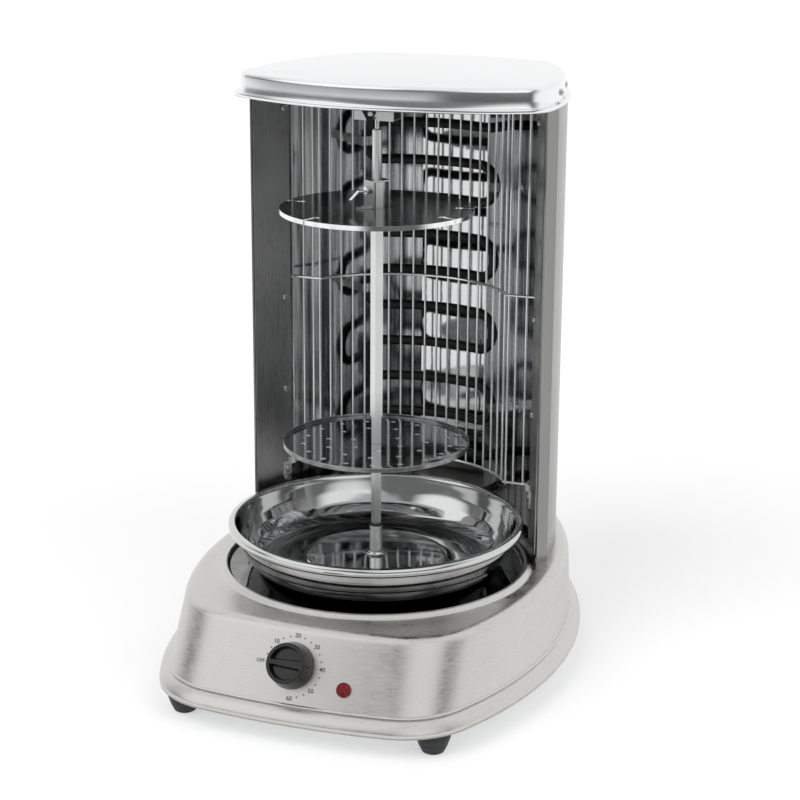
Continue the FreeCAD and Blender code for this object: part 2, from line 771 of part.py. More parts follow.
def make_drive():
    bore = hub_radius + running_play
    flange_top = floor_top + bush_flange_height
    bush = turned([(bore, floor_under - bush_drop), (bush_radius, floor_under - bush_drop),
                   (bush_radius, floor_top), (bush_flange_radius, floor_top),
                   (bush_flange_radius, flange_top), (bore, flange_top)])
    save("hub_bush", bush)
    collar_top = hub_low + hub_collar_height
    hub = turned([(0, hub_low), (hub_collar_radius, hub_low), (hub_collar_radius, collar_top),
                  (hub_radius, collar_top), (hub_radius, hub_top), (0, hub_top)])
    output = shaft_with_flat(output_radius + thread_play, output_flat + thread_play, hub_bore_depth)
    hub = hub.cut(on_spindle(output.translated(Vector(0, 0, hub_low))))
    half = bar_low / 2 + socket_play
    socket = block(-half, half, -half, half, hub_top - socket_depth, hub_top + 1)
    save("drive_hub", hub.cut(on_spindle(socket)))
    case_top = bracket_low - gap
    shaft_low = case_top - gear_case_height + 4
    length = hub_low + hub_bore_depth - gap - shaft_low
    shaft = shaft_with_flat(output_radius, output_flat, length)
    save("output_shaft", on_spindle(shaft.translated(Vector(0, 0, shaft_low))))
    case = Part.makeCylinder(gear_case_radius, gear_case_height, Vector(0, 0, case_top - gear_case_height))
    case = case.cut(Part.makeCylinder(output_radius + running_play, gear_case_height,
                                      Vector(0, 0, shaft_low - gap)))
    save("gear_case", case.translated(spindle))
    can_top = case_top - gear_case_height
    can = Part.makeCylinder(motor_radius, motor_height, Vector(0, 0, can_top - motor_height))
    can = can.makeFillet(1.5, [e for e in can.Edges
                               if all(abs(v.Z - can_top + motor_height) < 1e-6 for v in e.Vertexes)])
    save("gear_motor", can.translated(spindle))
    half = bracket_half_width
    bridge = block(-bracket_leg_x, bracket_leg_x, -half, half, bracket_low, bracket_low + bracket_sheet)
    bridge = bridge.cut(Part.makeCylinder(output_radius + 2, bracket_sheet, Vector(0, 0, bracket_low)))
    pieces = [bridge]
    for side in (-1, 1):
        near = sorted((side * bracket_leg_x, side * (bracket_leg_x - bracket_sheet)))
        far = sorted((side * bracket_leg_x, side * (bracket_leg_x + bracket_foot_length)))
        pieces.append(block(near[0], near[1], -half, half, bracket_low, floor_under))
        pieces.append(block(far[0], far[1], -half, half, floor_under - bracket_sheet, floor_under))
    bracket = fused(pieces).translated(spindle)
    screws = []
    for place in motor_screw_places():
        bracket = bracket.cut(rod(motor_screw_radius + thread_play, place, place + Vector(0, 0, base_height)))
        frame = frame_at(place + Vector(0, 0, floor_top), Vector(0, 0, 1), Vector(0, 1, 0))
        screws.append(screw(frame, motor_screw_radius, motor_screw_head, small_screw_length))
    save("motor_bracket", bracket)
    save("motor_screws", *screws)


def make_inlet():
    frame = panel_frame(gland_x, gland_z, True)
    back = -sheet - gap
    gland = Part.makeCone(gland_radius, gland_radius * 0.75, gland_height, Vector(0, 0, gap))
    gland = gland.fuse(Part.makeCylinder(gland_neck_radius, gland_length, Vector(0, 0, gap - gland_length)))
    ring = Part.makeCylinder(gland_radius, gland_nut_height, Vector(0, 0, back - gland_nut_height))
    bore = Part.makeCylinder(gland_bore_radius, 4 * gland_length, Vector(0, 0, -2 * gland_length))
    gland = gland.fuse(ring).cut(bore)
    save("cord_gland", placed(gland.removeSplitter(), frame))
    solid = block(0, terminal_length, 0, terminal_width, plate_top, plate_top + terminal_height)
    pitch = terminal_length / terminal_ways
    for way in range(terminal_ways):
        x = pitch * (way + 0.5)
        top = Vector(x, terminal_width / 2, plate_top + terminal_height)
        solid = solid.cut(rod(lead_radius + gap, top - Vector(0, 0, terminal_depth), top + Vector(0, 0, 1)))
    corner = Vector(terminal_x - terminal_length / 2, terminal_y - terminal_width / 2, 0)
    save("terminal_block", solid.translated(corner))


def lead(points):
    """Insulated lead along a polyline, rounded at each corner."""
    pieces = [Part.makeSphere(lead_radius, point) for point in points[1:-1]]
    for start, end in zip(points, points[1:]):
        pieces.append(rod(lead_radius, start, end))
    return fused(pieces)


def heater_lead_places():
    """Where the element's two leads rise through the base, behind the reflector."""
    return [Vector(heater_lead_x, heater_lead_y, 0),
            Vector(heater_lead_x + heater_lead_pitch, heater_lead_y - heater_lead_pitch, 0)]


def make_wiring():
    """Leads from the terminal block to the timer, motor, mains inlet and both heater ends."""
    high = plate_top + terminal_height - terminal_depth + gap
    pitch = terminal_length / terminal_ways
    first_x = terminal_x - terminal_length / 2 + pitch / 2
    ways = [Vector(first_x + pitch * way, terminal_y, high) for way in range(terminal_ways)]
    rise = Vector(0, 0, terminal_depth + lead_rise)
    timer_back = sheet + timer_standoff + timer_depth
    timer = panel_frame(knob_x, knob_z).multVec(Vector(0, 0, -timer_back - gap))
    timer_away = panel_frame(knob_x, knob_z).multVec(Vector(0, 0, -timer_back - 2 * lead_rise))
    inlet = panel_frame(gland_x, gland_z, True).multVec(Vector(0, 0, -gland_length))
    motor = Vector(-motor_radius - gap, spindle_y, high + rise.z)
    leads = [lead([ways[0], ways[0] + rise, Vector(lead_side_x, timer_away.y, high + rise.z),
                   timer_away, timer]),
             lead([ways[1], ways[1] + rise, motor - Vector(lead_rise, 0, 0), motor]),
             lead([ways[2], ways[2] + rise, inlet - Vector(0, 2 * lead_rise, 0), inlet])]
    low = ways[3] + rise
    for place, run in zip(heater_lead_places(), (0, heater_runs - 1)):
        stud = tail_length(run) + gap + terminal_cap_length + terminal_pin_length - heater_tail_past
        end = tail_frame(run).multVec(Vector(0, 0, stud + gap + lead_radius))
        bend = Vector(place.x, place.y, end.z - lead_rise)
        start = Vector(place.x, place.y, low.z)
        across = [Vector(place.x, low.y, low.z)] if run == 0 else [start + Vector(0, -lead_rise, 0)]
        leads.append(lead([across[0], start, bend, Vector(end.x + lead_rise, end.y, end.z), end]))
    save("wiring", *leads)


def make_pan():
    low = floor_top + gap
    inside = low + sheet
    rim = low + pan_rim_height
    wall_in = pan_radius - pan_rim_width - sheet
    plateau = inside + pan_plateau_rise
    edge = pan_plateau_radius
    slope = edge + pan_plateau_slope
    outer = pan_radius - sheet
    foot = pan_foot_radius - sheet
    side = []
    steps = 6
    for step in range(steps + 1):
        share = step / steps
        bulge = pan_side_bulge * math.sin(math.pi * share)
        side.append((foot + (wall_in - foot) * share ** 0.8 + bulge, inside + (rim - inside) * share))
    under = [(radius + sheet, z - sheet * (1 - 0.2 * n)) for n, (radius, z) in enumerate(side[:-1])]
    profile = [(pan_hole_radius, plateau + pan_collar_height), (pan_hole_radius, plateau - sheet),
               (edge - sheet / 2, plateau - sheet), (slope - sheet / 2, low), (foot, low)]
    profile += under[1:]
    profile += [(wall_in + sheet, rim - sheet), (outer, rim - sheet), (outer, rim - pan_lip_drop),
                (pan_radius, rim - pan_lip_drop), (pan_radius, rim), (side[-1][0], rim)]
    profile += side[-2::-1]
    profile += [(slope, inside), (edge, plateau), (pan_hole_radius + sheet, plateau),
                (pan_hole_radius + sheet, plateau + pan_collar_height)]
    save("drip_pan", turned(profile))


def make_spindle():
    low = block(-bar_low / 2, bar_low / 2, -bar_low / 2, bar_low / 2, bar_bottom, bar_shoulder)
    high = block(-bar_high / 2, bar_high / 2, -bar_high / 2, bar_high / 2, bar_shoulder, bar_top)
    neck = Part.makeCylinder(neck_radius, neck_top - bar_top, Vector(0, 0, bar_top))
    tip = [e for e in neck.Edges if all(abs(v.Z - neck_top) < 1e-6 for v in e.Vertexes)]
    neck = neck.makeChamfer(tip_chamfer, tip)
    pin = Part.makeCylinder(pin_radius, pin_length, Vector(0, 0, neck_top))
    bar = fused([low, high, neck, pin])
    pin_z = disc_pin_height()
    hole = rod(disc_pin_radius + thread_play, Vector(0, -bar_low, pin_z), Vector(0, bar_low, pin_z))
    save("spindle", on_spindle(bar.cut(hole)))
    half = disc_pin_length / 2
    save("disc_pin", on_spindle(rod(disc_pin_radius, Vector(0, -half, pin_z), Vector(0, half, pin_z))))
    side = bar_low / 2 + running_play
    seal = Part.makeCylinder(seal_radius, seal_height, Vector(0, 0, hub_top + gap))
    seal = seal.cut(block(-side, side, -side, side, hub_top, hub_top + 2 * seal_height))
    save("spindle_seal", on_spindle(seal))


def disc_pin_height():
    return lower_disc_top - disc_sheet - running_play - disc_pin_radius


def make_lower_disc():
    under = lower_disc_top - disc_sheet
    rim = lower_disc_top + lower_disc_rim
    inner = lower_disc_radius - disc_sheet
    disc = turned([(0, under), (lower_disc_radius, under), (lower_disc_radius, rim), (inner, rim),
                   (inner, lower_disc_top), (0, lower_disc_top)], Vector(0, 0, 0))
    half = bar_low / 2 + disc_play
    cuts = [block(-half, half, -half, half, under - 1, rim)]
    for ring in hole_ring_radii:
        count = int(2 * math.pi * ring / (2 * hole_ring_step))
        for number in range(count):
            angle = 2 * math.pi * number / count
            place = Vector(ring * math.cos(angle), ring * math.sin(angle), under - 1)
            cuts.append(rod(hole_radius, place, place + Vector(0, 0, disc_sheet + 2)))
    save("lower_disc", on_spindle(disc.cut(cuts)))


def make_upper_disc():
    under = upper_disc_top - disc_sheet
    rim = upper_disc_top - upper_disc_rim
    inner = upper_disc_radius - disc_sheet
    disc = turned([(0, under), (inner, under), (inner, rim), (upper_disc_radius, rim),
                   (upper_disc_radius, upper_disc_top), (0, upper_disc_top)], Vector(0, 0, 0))
    half = upper_hole / 2
    cuts = [block(-half, half, -half, half, rim, upper_disc_top + 1)]
    for angle in notch_angles:
        end = upper_disc_radius - notch_length
        slit = block(end, upper_disc_radius + 1, -notch_width / 2, notch_width / 2, rim - 1, upper_disc_top + 1)
        slit = slit.fuse(Part.makeCylinder(notch_end_radius, upper_disc_rim + 2, Vector(end, 0, rim - 1)))
        slit.rotate(Vector(0, 0, 0), Vector(0, 0, 1), angle - spindle_turn)
        cuts.append(slit)
    foot_x_middle = clamp_width / 2 + clamp_foot * 0.6
    for side in (-1, 1):
        place = Vector(side * foot_x_middle, 0, rim)
        cuts.append(rod(rivet_radius + thread_play, place, place + Vector(0, 0, upper_disc_rim + 1)))
    save("upper_disc", on_spindle(disc.cut(cuts)))
    rivets = []
    for side in (-1, 1):
        place = Vector(side * foot_x_middle, 0, 0)
        top = upper_disc_top + clamp_sheet
        shank = rod(rivet_radius, place + Vector(0, 0, under), place + Vector(0, 0, top))
        heads = [Part.makeCone(rivet_head_radius, rivet_head_radius * 0.5, rivet_head_height,
                               place + Vector(0, 0, top)),
                 Part.makeCone(rivet_head_radius, rivet_head_radius * 0.5, rivet_head_height,
                               place + Vector(0, 0, under), Vector(0, 0, -1))]
        rivets.append(on_spindle(fused([shank] + heads)))
    save("clamp_rivets", *rivets)


def make_clamp():
    half = clamp_width / 2
    deep = clamp_depth / 2
    low = upper_disc_top
    high = low + clamp_height
    bracket = block(-half, half, -deep, deep, low, high)
    inside = half - clamp_sheet
    bracket = bracket.cut(block(-inside, inside, -deep, deep, low, high - clamp_sheet))
    hole = upper_hole / 2
    bracket = bracket.cut(block(-hole, hole, -hole, hole, high - 2 * clamp_sheet, high + 1))
    feet = []
    for side in (-1, 1):
        points = [(side * half, -deep * 0.8), (side * (half + clamp_foot), -deep * 0.45),
                  (side * (half + clamp_foot), deep * 0.45), (side * half, deep * 0.8),
                  (side * inside, deep * 0.8), (side * inside, -deep * 0.8)]
        foot = plate(points, low, low + clamp_sheet)
        rivet = Vector(side * (half + clamp_foot * 0.6), 0, low - 1)
        feet.append(foot.cut(rod(rivet_radius + thread_play, rivet, rivet + Vector(0, 0, 2 * clamp_sheet + 1))))
    bracket = bracket.fuse(feet)
    axis = low + clamp_screw_height
    drill = rod(clamp_screw_radius + running_play, Vector(-half - 1, 0, axis), Vector(-inside + 1, 0, axis))
    save("clamp_bracket", on_spindle(bracket.cut(drill).removeSplitter()))
    collar = -half - gap
    wire = collar - clamp_collar_length
    stem = rod(clamp_screw_radius, Vector(-neck_radius - gap, 0, axis), Vector(collar, 0, axis))
    grip = rod(clamp_collar_radius, Vector(collar, 0, axis), Vector(wire, 0, axis))
    elbow = Vector(wire - clamp_wire_reach, 0, axis)
    tip = elbow + Vector(-clamp_wire_reach, 0, -clamp_wire_drop)
    parts = [stem, grip, rod(clamp_wire_radius, Vector(wire, 0, axis), elbow),
             Part.makeSphere(clamp_wire_radius, elbow), rod(clamp_wire_radius, elbow, tip),
             Part.makeSphere(clamp_wire_radius, tip)]
    save("wing_screw", on_spindle(fused(parts)))


def make_wall():
    ring = prism(wall_line, 0, base_height, wall_top).cut(
        prism(wall_line, sheet, base_height - run_out, wall_top + run_out))
    reach = 2 * wall_half_width
    ring = ring.common(block(-reach, reach, fold_y, wall_rear + run_out, base_height, wall_top))
    outer, _ = side_point(wall_line, fold_y)
    inner_x = wall_line["half_width"] - wall_line["side"] + math.sqrt(
        (wall_line["side"] - sheet) ** 2 - (fold_y - wall_center_y) ** 2)
    edge = Vector(outer.x - front_strip_width, fold_y - front_strip_depth, 0)
    along = (edge - outer).normalize()
    inward = Vector(along.y, -along.x, 0)
    edge_in = edge + inward * sheet
    strip = plate([(outer.x, outer.y), (edge.x, edge.y), (edge_in.x, edge_in.y), (inner_x, fold_y)],
                  base_height, wall_top)
    rearward = (Vector(inner_x, fold_y, 0) - edge_in).normalize()
    across = Vector(-rearward.y, rearward.x, 0)
    back = edge_in + rearward * hem_width
    back_in = back + across * sheet
    edge_two = edge_in + across * sheet
    hem = plate([(edge_in.x, edge_in.y), (back.x, back.y), (back_in.x, back_in.y), (edge_two.x, edge_two.y)],
                base_height, wall_top)
    foot = prism(wall_line, sheet, base_height, base_height + sheet).cut(
        prism(wall_line, sheet + wall_foot_width, base_height - run_out, base_height + run_out))
    foot = foot.common(block(-reach, reach, fold_y + 2 * wall_foot_width, wall_rear, base_height, wall_top))
    wall = fused([ring, strip, mirrored(strip), hem, mirrored(hem), foot])
    for place in wall_foot_places():
        start = Vector(place.x, place.y, base_height - run_out)
        wall = wall.cut(rod(wall_screw_radius + screw_play, start, start + Vector(0, 0, 2 * run_out)))
    for low in (wall_vent_low, wall_top - wall_vent_drop):
        for row in range(wall_vents):
            z = low + row * wall_vent_pitch
            wall = wall.cut(block(-wall_vent_length / 2, wall_vent_length / 2, wall_rear - run_out,
                                  wall_rear + run_out, z, z + wall_vent_height))
    save("housing_wall", wall)
    seat = Vector(0, 0, base_height + sheet)
    save("wall_screws", *[screw(frame_at(place + seat, Vector(0, 0, 1), Vector(0, 1, 0)),
                                wall_screw_radius, wall_screw_head) for place in wall_foot_places()])


def liner_line():
    """Front and back edge of the right liner's inner face, its direction, and the way outwards."""
    outer, _ = side_point(wall_line, fold_y)
    front = Vector(outer.x - front_strip_width - liner_gap, liner_front_y, 0)
    back = Vector(liner_back_x, liner_back_y, 0)
    along = (back - front).normalize()
    return front, back, along, Vector(along.y, -along.x, 0)


def liner_screw_frames():
    front, back, along, outward = liner_line()
    place = back - along * liner_screw_setback
    heights = liner_screw_z + (wall_top - liner_screw_drop,)
    return [frame_at(place + Vector(0, 0, z), outward * -1) for z in heights]


def make_liners():
    front, back, along, outward = liner_line()
    thick = outward * sheet
    points = [front, back, back + thick, front + thick]
    liner = plate([(p.x, p.y) for p in points], liner_bottom, wall_top - liner_top_gap)
    screws = []
    for frame in liner_screw_frames():
        drill = Part.makeCylinder(small_screw_radius + screw_play, 4 * sheet, Vector(0, 0, -2 * sheet))
        liner = liner.cut(placed(drill, frame))
        screws += both_sides(screw(frame))
    hole = Part.makeCylinder(small_screw_radius + thread_play, 4 * sheet, Vector(0, 0, -2 * sheet))
    liner = liner.cut(placed(hole, clip_frame(clip_screw_height())))
    save("side_liner_right", liner)
    save("side_liner_left", mirrored(liner))
    save("liner_screws", *screws)


def bent_sheet(points, thickness, low, high):
    """Sheet bent along a polyline of Vectors, its thickness laid to the left of the way along."""
    left = []
    for number, point in enumerate(points):
        ways = []
        if number > 0:
            ways.append((point - points[number - 1]).normalize())
        if number < len(points) - 1:
            ways.append((points[number + 1] - point).normalize())
        normals = [Vector(-way.y, way.x, 0) for way in ways]
        middle = normals[0] + normals[-1]
        middle.normalize()
        left.append(point + middle * (thickness / middle.dot(normals[0])))
    outline_points = points + left[::-1]
    return plate([(p.x, p.y) for p in outline_points], low, high)


def reflector_points():
    """Right half of the reflector's inner face, from the liner to the middle of the back."""
    front, back, along, outward = liner_line()
    start = back - along * reflector_flange + outward * sheet
    turn = back + outward * sheet
    side = Vector(reflector_side_x, reflector_side_y, 0)
    return [start, turn, side, Vector(reflector_back_x, reflector_back, 0)]


def make_reflector():
    right = reflector_points()
    left = [Vector(-p.x, p.y, 0) for p in right]
    path = left + right[::-1]
    sheet_metal = bent_sheet(path, reflector_sheet, reflector_bottom, wall_top - liner_top_gap)
    cuts = []
    for frame in liner_screw_frames():
        drill = placed(Part.makeCylinder(small_screw_radius + thread_play, 6 * sheet, Vector(0, 0, -5 * sheet)),
                       frame)
        cuts += both_sides(drill)
    drill = placed(Part.makeCylinder(small_screw_radius + thread_play, 6 * sheet, Vector(0, 0, -5 * sheet)),
                   clip_frame(clip_screw_height()))
    cuts += both_sides(drill)
    for run in (0, heater_runs - 1):
        cuts.append(placed(Part.makeCylinder(heater_tube_radius + 2 * gap, tail_length(run)), tail_frame(run)))
    for frame in heater_clip_frames():
        drill = Part.makeCylinder(small_screw_radius + thread_play, 2 * run_out, Vector(0, 0, -run_out))
        cuts.append(placed(drill, frame))
    save("reflector", sheet_metal.cut(cuts))


def guard_arc_half_angle():
    return math.asin((guard_tab_y - guard_center_y) / guard_radius)


def arc_place(radius, angle, z):
    """Point at an angle from the +X axis on a circle about the guard's axis."""
    return Vector(radius * math.cos(angle), guard_center_y + radius * math.sin(angle), z)


def guard_wire(z):
    start = guard_arc_half_angle()
    end = math.pi - start
    ring = Part.makeTorus(guard_radius, guard_wire_radius, Vector(0, guard_center_y, z), Vector(0, 0, 1),
                          0, 360, math.degrees(end - start))
    ring.rotate(Vector(0, guard_center_y, z), Vector(0, 0, 1), math.degrees(start))
    pieces = [ring]
    for angle, side in ((start, 1), (end, -1)):
        corner = arc_place(guard_radius, angle, z)
        pieces.append(Part.makeSphere(guard_wire_radius, corner))
        pieces.append(rod(guard_wire_radius, corner, Vector(side * (guard_tab_end + 1), guard_tab_y, z)))
    return pieces


def make_guard():
    offset = guard_wire_radius + guard_rod_radius - guard_bite
    start = guard_arc_half_angle()
    step = (math.pi - 2 * start) / (guard_rods - 1)
    high = wall_top - gap
    low = guard_low_wire - guard_wire_radius - 1
    feet = []
    for number in range(guard_rods):
        feet.append(arc_place(guard_radius + offset, start + number * step, low))
    for x in guard_tab_rods + (guard_tab_end,):
        for side in (-1, 1):
            feet.append(Vector(side * x, guard_tab_y + offset, low))
    pieces = [rod(guard_rod_radius, foot, Vector(foot.x, foot.y, high)) for foot in feet]
    pieces += guard_wire(guard_low_wire) + guard_wire(guard_mid_wire)
    save("wire_guard", fused(pieces))


def clip_screw_height():
    return guard_low_wire - clip_screw_drop


def clip_frame(z):
    """On the inner face of the right liner, in front of the guard's lower corner."""
    front, back, along, outward = liner_line()
    return frame_at(back - along * (clip_width / 2 + 1) + Vector(0, 0, z), outward * -1)


def make_guard_clips():
    frame = clip_frame(clip_screw_height())
    half = clip_width / 2
    base = block(-half, half, -clip_height / 2, clip_height / 2, 0, clip_sheet)
    base = base.cut(Part.makeCylinder(small_screw_radius + screw_play, 2 * clip_sheet, Vector(0, 0, -1)))
    base = placed(base, frame)
    low = guard_low_wire - 3
    high = guard_low_wire + 3
    front, back, along, outward = liner_line()
    knee = back - along * 1.5 - outward * clip_sheet
    arm = bent_sheet([Vector(knee.x + 0.9, knee.y - 2.5, 0), Vector(knee.x - 0.4, knee.y, 0),
                      Vector(clip_x, knee.y + 1.5, 0), Vector(clip_x, guard_tab_y + 3.2, 0)][::-1],
                     clip_sheet, low, high)
    start = Vector(clip_x - 3, guard_tab_y, guard_low_wire)
    arm = arm.cut(rod(guard_wire_radius + gap, start, start + Vector(8, 0, 0)))
    clip = fused([base, arm])
    save("guard_clips", *both_sides(clip))
    head = placed(screw(Placement()), frame.multiply(Placement(Vector(0, 0, clip_sheet), FreeCAD.Rotation())))
    save("guard_screws", *both_sides(head))


def run_height(run):
    return heater_first_run + run * heater_pitch


def heater_end(side):
    """Where the straight part of a run ends on one side, and the way the tube points there."""
    angle = math.pi / 2 - side * math.radians(heater_half_angle)
    place = arc_place(heater_radius, angle, 0)
    way = Vector(math.sin(angle) * side, -math.cos(angle) * side, 0)
    return place, way


def facet_normal(side):
    """Way out of the back of the reflector's slanted facet on one side."""
    rise = reflector_back - reflector_side_y
    width = reflector_side_x - reflector_back_x
    return Vector(side * rise, width, 0).normalize()


def tail_corner(run):
    place, way = heater_end(1)
    back = Vector(-way.y, way.x, 0)
    return place + Vector(0, 0, run_height(run)), way, back


def facet_distance(point, way, side):
    """Distance from point along way to the inner face of the slanted facet."""
    normal = facet_normal(side)
    corner = Vector(side * reflector_back_x, reflector_back, 0)
    flat = Vector(point.x, point.y, 0)
    return (corner - flat).dot(normal) / way.dot(normal)


def tail_frame(run):
    """Frame at the start of the element's straight tail, which passes back through the reflector."""
    corner, way, back = tail_corner(run)
    return frame_at(corner + (way + back) * heater_tail_radius, back)


def tail_exit(run):
    """Distance along the tail to where its end piece clears the back of the slanted facet."""
    corner, way, back = tail_corner(run)
    start = corner + (way + back) * heater_tail_radius
    facing = back.dot(facet_normal(1))
    lean = math.sqrt(1 - facing ** 2)
    return facet_distance(start, back, 1) + (reflector_sheet + terminal_cap_radius * lean) / facing


def tail_length(run):
    return tail_exit(run) + heater_tail_past


def heater_path():
    """Centre line: runs on an arc, half-circle bends between them, a tail at each end."""
    edges = []
    half = math.radians(heater_half_angle)
    bend = heater_pitch / 2
    for run in range(heater_runs):
        z = run_height(run)
        right = arc_place(heater_radius, math.pi / 2 - half, z)
        left = arc_place(heater_radius, math.pi / 2 + half, z)
        middle = arc_place(heater_radius, math.pi / 2, z)
        ends = (right, left) if run % 2 == 0 else (left, right)
        edges.append(Part.Arc(ends[0], middle, ends[1]).toShape())
        if run < heater_runs - 1:
            side = -1 if run % 2 == 0 else 1
            place, way = heater_end(side)
            start = ends[1]
            top = Vector(start.x, start.y, z + heater_pitch)
            edges.append(Part.Arc(start, start + way * bend + Vector(0, 0, bend), top).toShape())
    first = tail_edges(0)
    last = tail_edges(heater_runs - 1)
    return first[::-1] + edges + last


def tail_edges(run):
    corner, way, back = tail_corner(run)
    radius = heater_tail_radius
    share = math.sqrt(0.5)
    middle = corner + way * (radius * share) + back * (radius * (1 - share))
    end = corner + (way + back) * radius
    return [Part.Arc(corner, middle, end).toShape(),
            Part.LineSegment(end, end + back * tail_length(run)).toShape()]


def make_heater():
    edges = Part.sortEdges(heater_path())[0]
    path = Part.Wire(edges)
    first = edges[0]
    start = first.valueAt(first.FirstParameter)
    way = first.tangentAt(first.FirstParameter)
    if first.Orientation == "Reversed":
        start = first.valueAt(first.LastParameter)
        way = first.tangentAt(first.LastParameter) * -1
    circle = Part.Wire(Part.Circle(start, way, heater_tube_radius).toShape())
    tube = path.makePipeShell([circle], True, False)
    expected = path.Length * math.pi * heater_tube_radius ** 2
    print("heating element: %.0f mm long, volume share %.3f" % (path.Length, tube.Volume / expected))
    save("heating_element", tube)
    caps = []
    for run in (0, heater_runs - 1):
        end = tail_length(run)
        start = end - heater_tail_past + gap
        cap = Part.makeCylinder(terminal_cap_radius, terminal_cap_length, Vector(0, 0, start))
        cap = cap.cut(Part.makeCylinder(heater_tube_radius + thread_play, end - start + thread_play,
                                        Vector(0, 0, start)))
        stud = Part.makeCylinder(terminal_pin_radius, terminal_pin_length,
                                 Vector(0, 0, start + terminal_cap_length))
        caps.append(placed(fused([cap, stud]), tail_frame(run)))
    save("heater_terminals", *caps)


def bend_places():
    """Side and height of the bend apex at each clip."""
    places = [(-1, run) for run in heater_clip_bends_left]
    places += [(1, run) for run in heater_clip_bends_right]
    return places


def heater_clip_frames():
    """Frames on the slanted facets, each beside the apex of a bend, local Z towards the spindle."""
    frames = []
    for side, run in bend_places():
        place, way = heater_end(side)
        apex = place + way * (heater_pitch / 2)
        normal = facet_normal(side)
        outwards = Vector(side * abs(normal.y), -abs(normal.x), 0)
        foot = apex + normal * facet_distance(apex, normal, side)
        reach = heater_tube_radius + small_head_radius + 2 * heater_clip_sheet
        z = run_height(run) + heater_pitch / 2
        frames.append(frame_at(foot + outwards * reach + Vector(0, 0, z), normal * -1))
    return frames


def make_heater_clips():
    clips = []
    screws = []
    for (side, run), frame in zip(bend_places(), heater_clip_frames()):
        place, way = heater_end(side)
        apex = place + way * (heater_pitch / 2)
        depth = facet_distance(apex, facet_normal(side), side)
        reach = heater_tube_radius + small_head_radius + 2 * heater_clip_sheet
        inner = small_head_radius + gap
        half = heater_clip_height / 2
        thick = heater_clip_sheet
        high = depth + heater_tube_radius + gap
        pieces = [block(-small_head_radius - 1, inner + thick, -half, half, 0, thick),
                  block(inner, inner + thick, -half, half, 0, high + thick),
                  block(inner, reach + heater_tube_radius, -half, half, high, high + thick)]
        clip = fused(pieces)
        clip = clip.cut(Part.makeCylinder(small_screw_radius + screw_play, 3 * thick, Vector(0, 0, -thick)))
        if side > 0:
            clip = clip.mirror(Vector(0, 0, 0), Vector(1, 0, 0))
        clips.append(placed(clip, frame))
        seat = frame.multiply(Placement(Vector(0, 0, thick), FreeCAD.Rotation()))
        screws.append(screw(seat, length=small_screw_length - 2))
    save("heater_clips", *clips)
    save("heater_clip_screws", *screws)


def lid_body(inset, drop, low):
    """The lid's skirt, rounded edge and crown as one solid, drawn in by inset and lowered by drop."""
    skirt_top = top_plate_top + lid_skirt_height
    skirt_in = lid_lip_width + inset
    wires = [outline(low, lid_line, skirt_in), outline(skirt_top - drop, lid_line, skirt_in)]
    for angle in (30, 60, 90):
        turn = math.radians(angle)
        wires.append(outline(skirt_top - drop + lid_edge_radius * math.sin(turn), lid_line,
                             skirt_in + lid_edge_radius * (1 - math.cos(turn))))
    edge = skirt_top + lid_edge_radius - drop
    for share in (0.85, 0.65, 0.4, 0.12):
        wires.append(outline(edge + lid_crown * (1 - share ** 2), lid_line, skirt_in + lid_edge_radius, share))
    return Part.makeLoft(wires, True, True)


def lid_screw_frames():
    frames = []
    for y in lid_screw_y:
        place, out = side_point(lid_line, y, lid_lip_width)
        frames.append(frame_at(place + Vector(0, 0, top_plate_top + lid_screw_rise), out))
    return frames


def make_lid():
    lip_low = wall_top + top_plate_sheet - lid_lip_drop
    flange = prism(lid_line, 0, lip_low, top_plate_top + sheet).cut(
        prism(lid_line, sheet, lip_low - run_out, top_plate_top))
    lid = flange.fuse(lid_body(0, 0, top_plate_top)).cut(lid_body(sheet, sheet, top_plate_top - run_out))
    screws = []
    for frame in lid_screw_frames():
        drill = Part.makeCylinder(small_screw_radius + screw_play, 2 * run_out, Vector(0, 0, -run_out))
        drill = placed(drill, frame)
        for hole in both_sides(drill):
            lid = lid.cut(hole)
        raised = frame.multiply(Placement(Vector(0, 0, gap), FreeCAD.Rotation()))
        screws += both_sides(screw(raised, head=lid_screw_head))
    save("lid", lid.removeSplitter())
    save("lid_screws", *screws)


def make_top_plate():
    solid = prism(lid_line, 2 * sheet, wall_top, top_plate_top)
    tab_out = lid_lip_width + sheet + gap
    high = top_plate_top + lid_tab_height
    ring = prism(lid_line, tab_out, top_plate_top, high).cut(
        prism(lid_line, tab_out + sheet, top_plate_top - run_out, high + run_out))
    pieces = [solid]
    for y in lid_screw_y:
        for side in (-1, 1):
            ends = sorted((side * wall_half_width * 0.7, side * wall_half_width * 1.2))
            window = block(ends[0], ends[1], y - lid_tab_width / 2, y + lid_tab_width / 2, top_plate_top, high)
            pieces.append(ring.common(window))
    solid = fused(pieces)
    for frame in lid_screw_frames():
        drill = Part.makeCylinder(small_screw_radius + thread_play, 2 * run_out, Vector(0, 0, -run_out))
        drill = placed(drill, frame)
        for hole in both_sides(drill):
            solid = solid.cut(hole)
    for place in top_rivet_places():
        solid = solid.cut(rod(rivet_radius + thread_play, place, place + Vector(0, 0, wall_top + run_out)))
    save("top_plate", solid)


def top_rivet_places():
    y = spindle_y + top_bracket_back + top_bracket_flange / 2
    x = top_bracket_half_width * 0.6
    return [Vector(x, y, 0), Vector(-x, y, 0)]


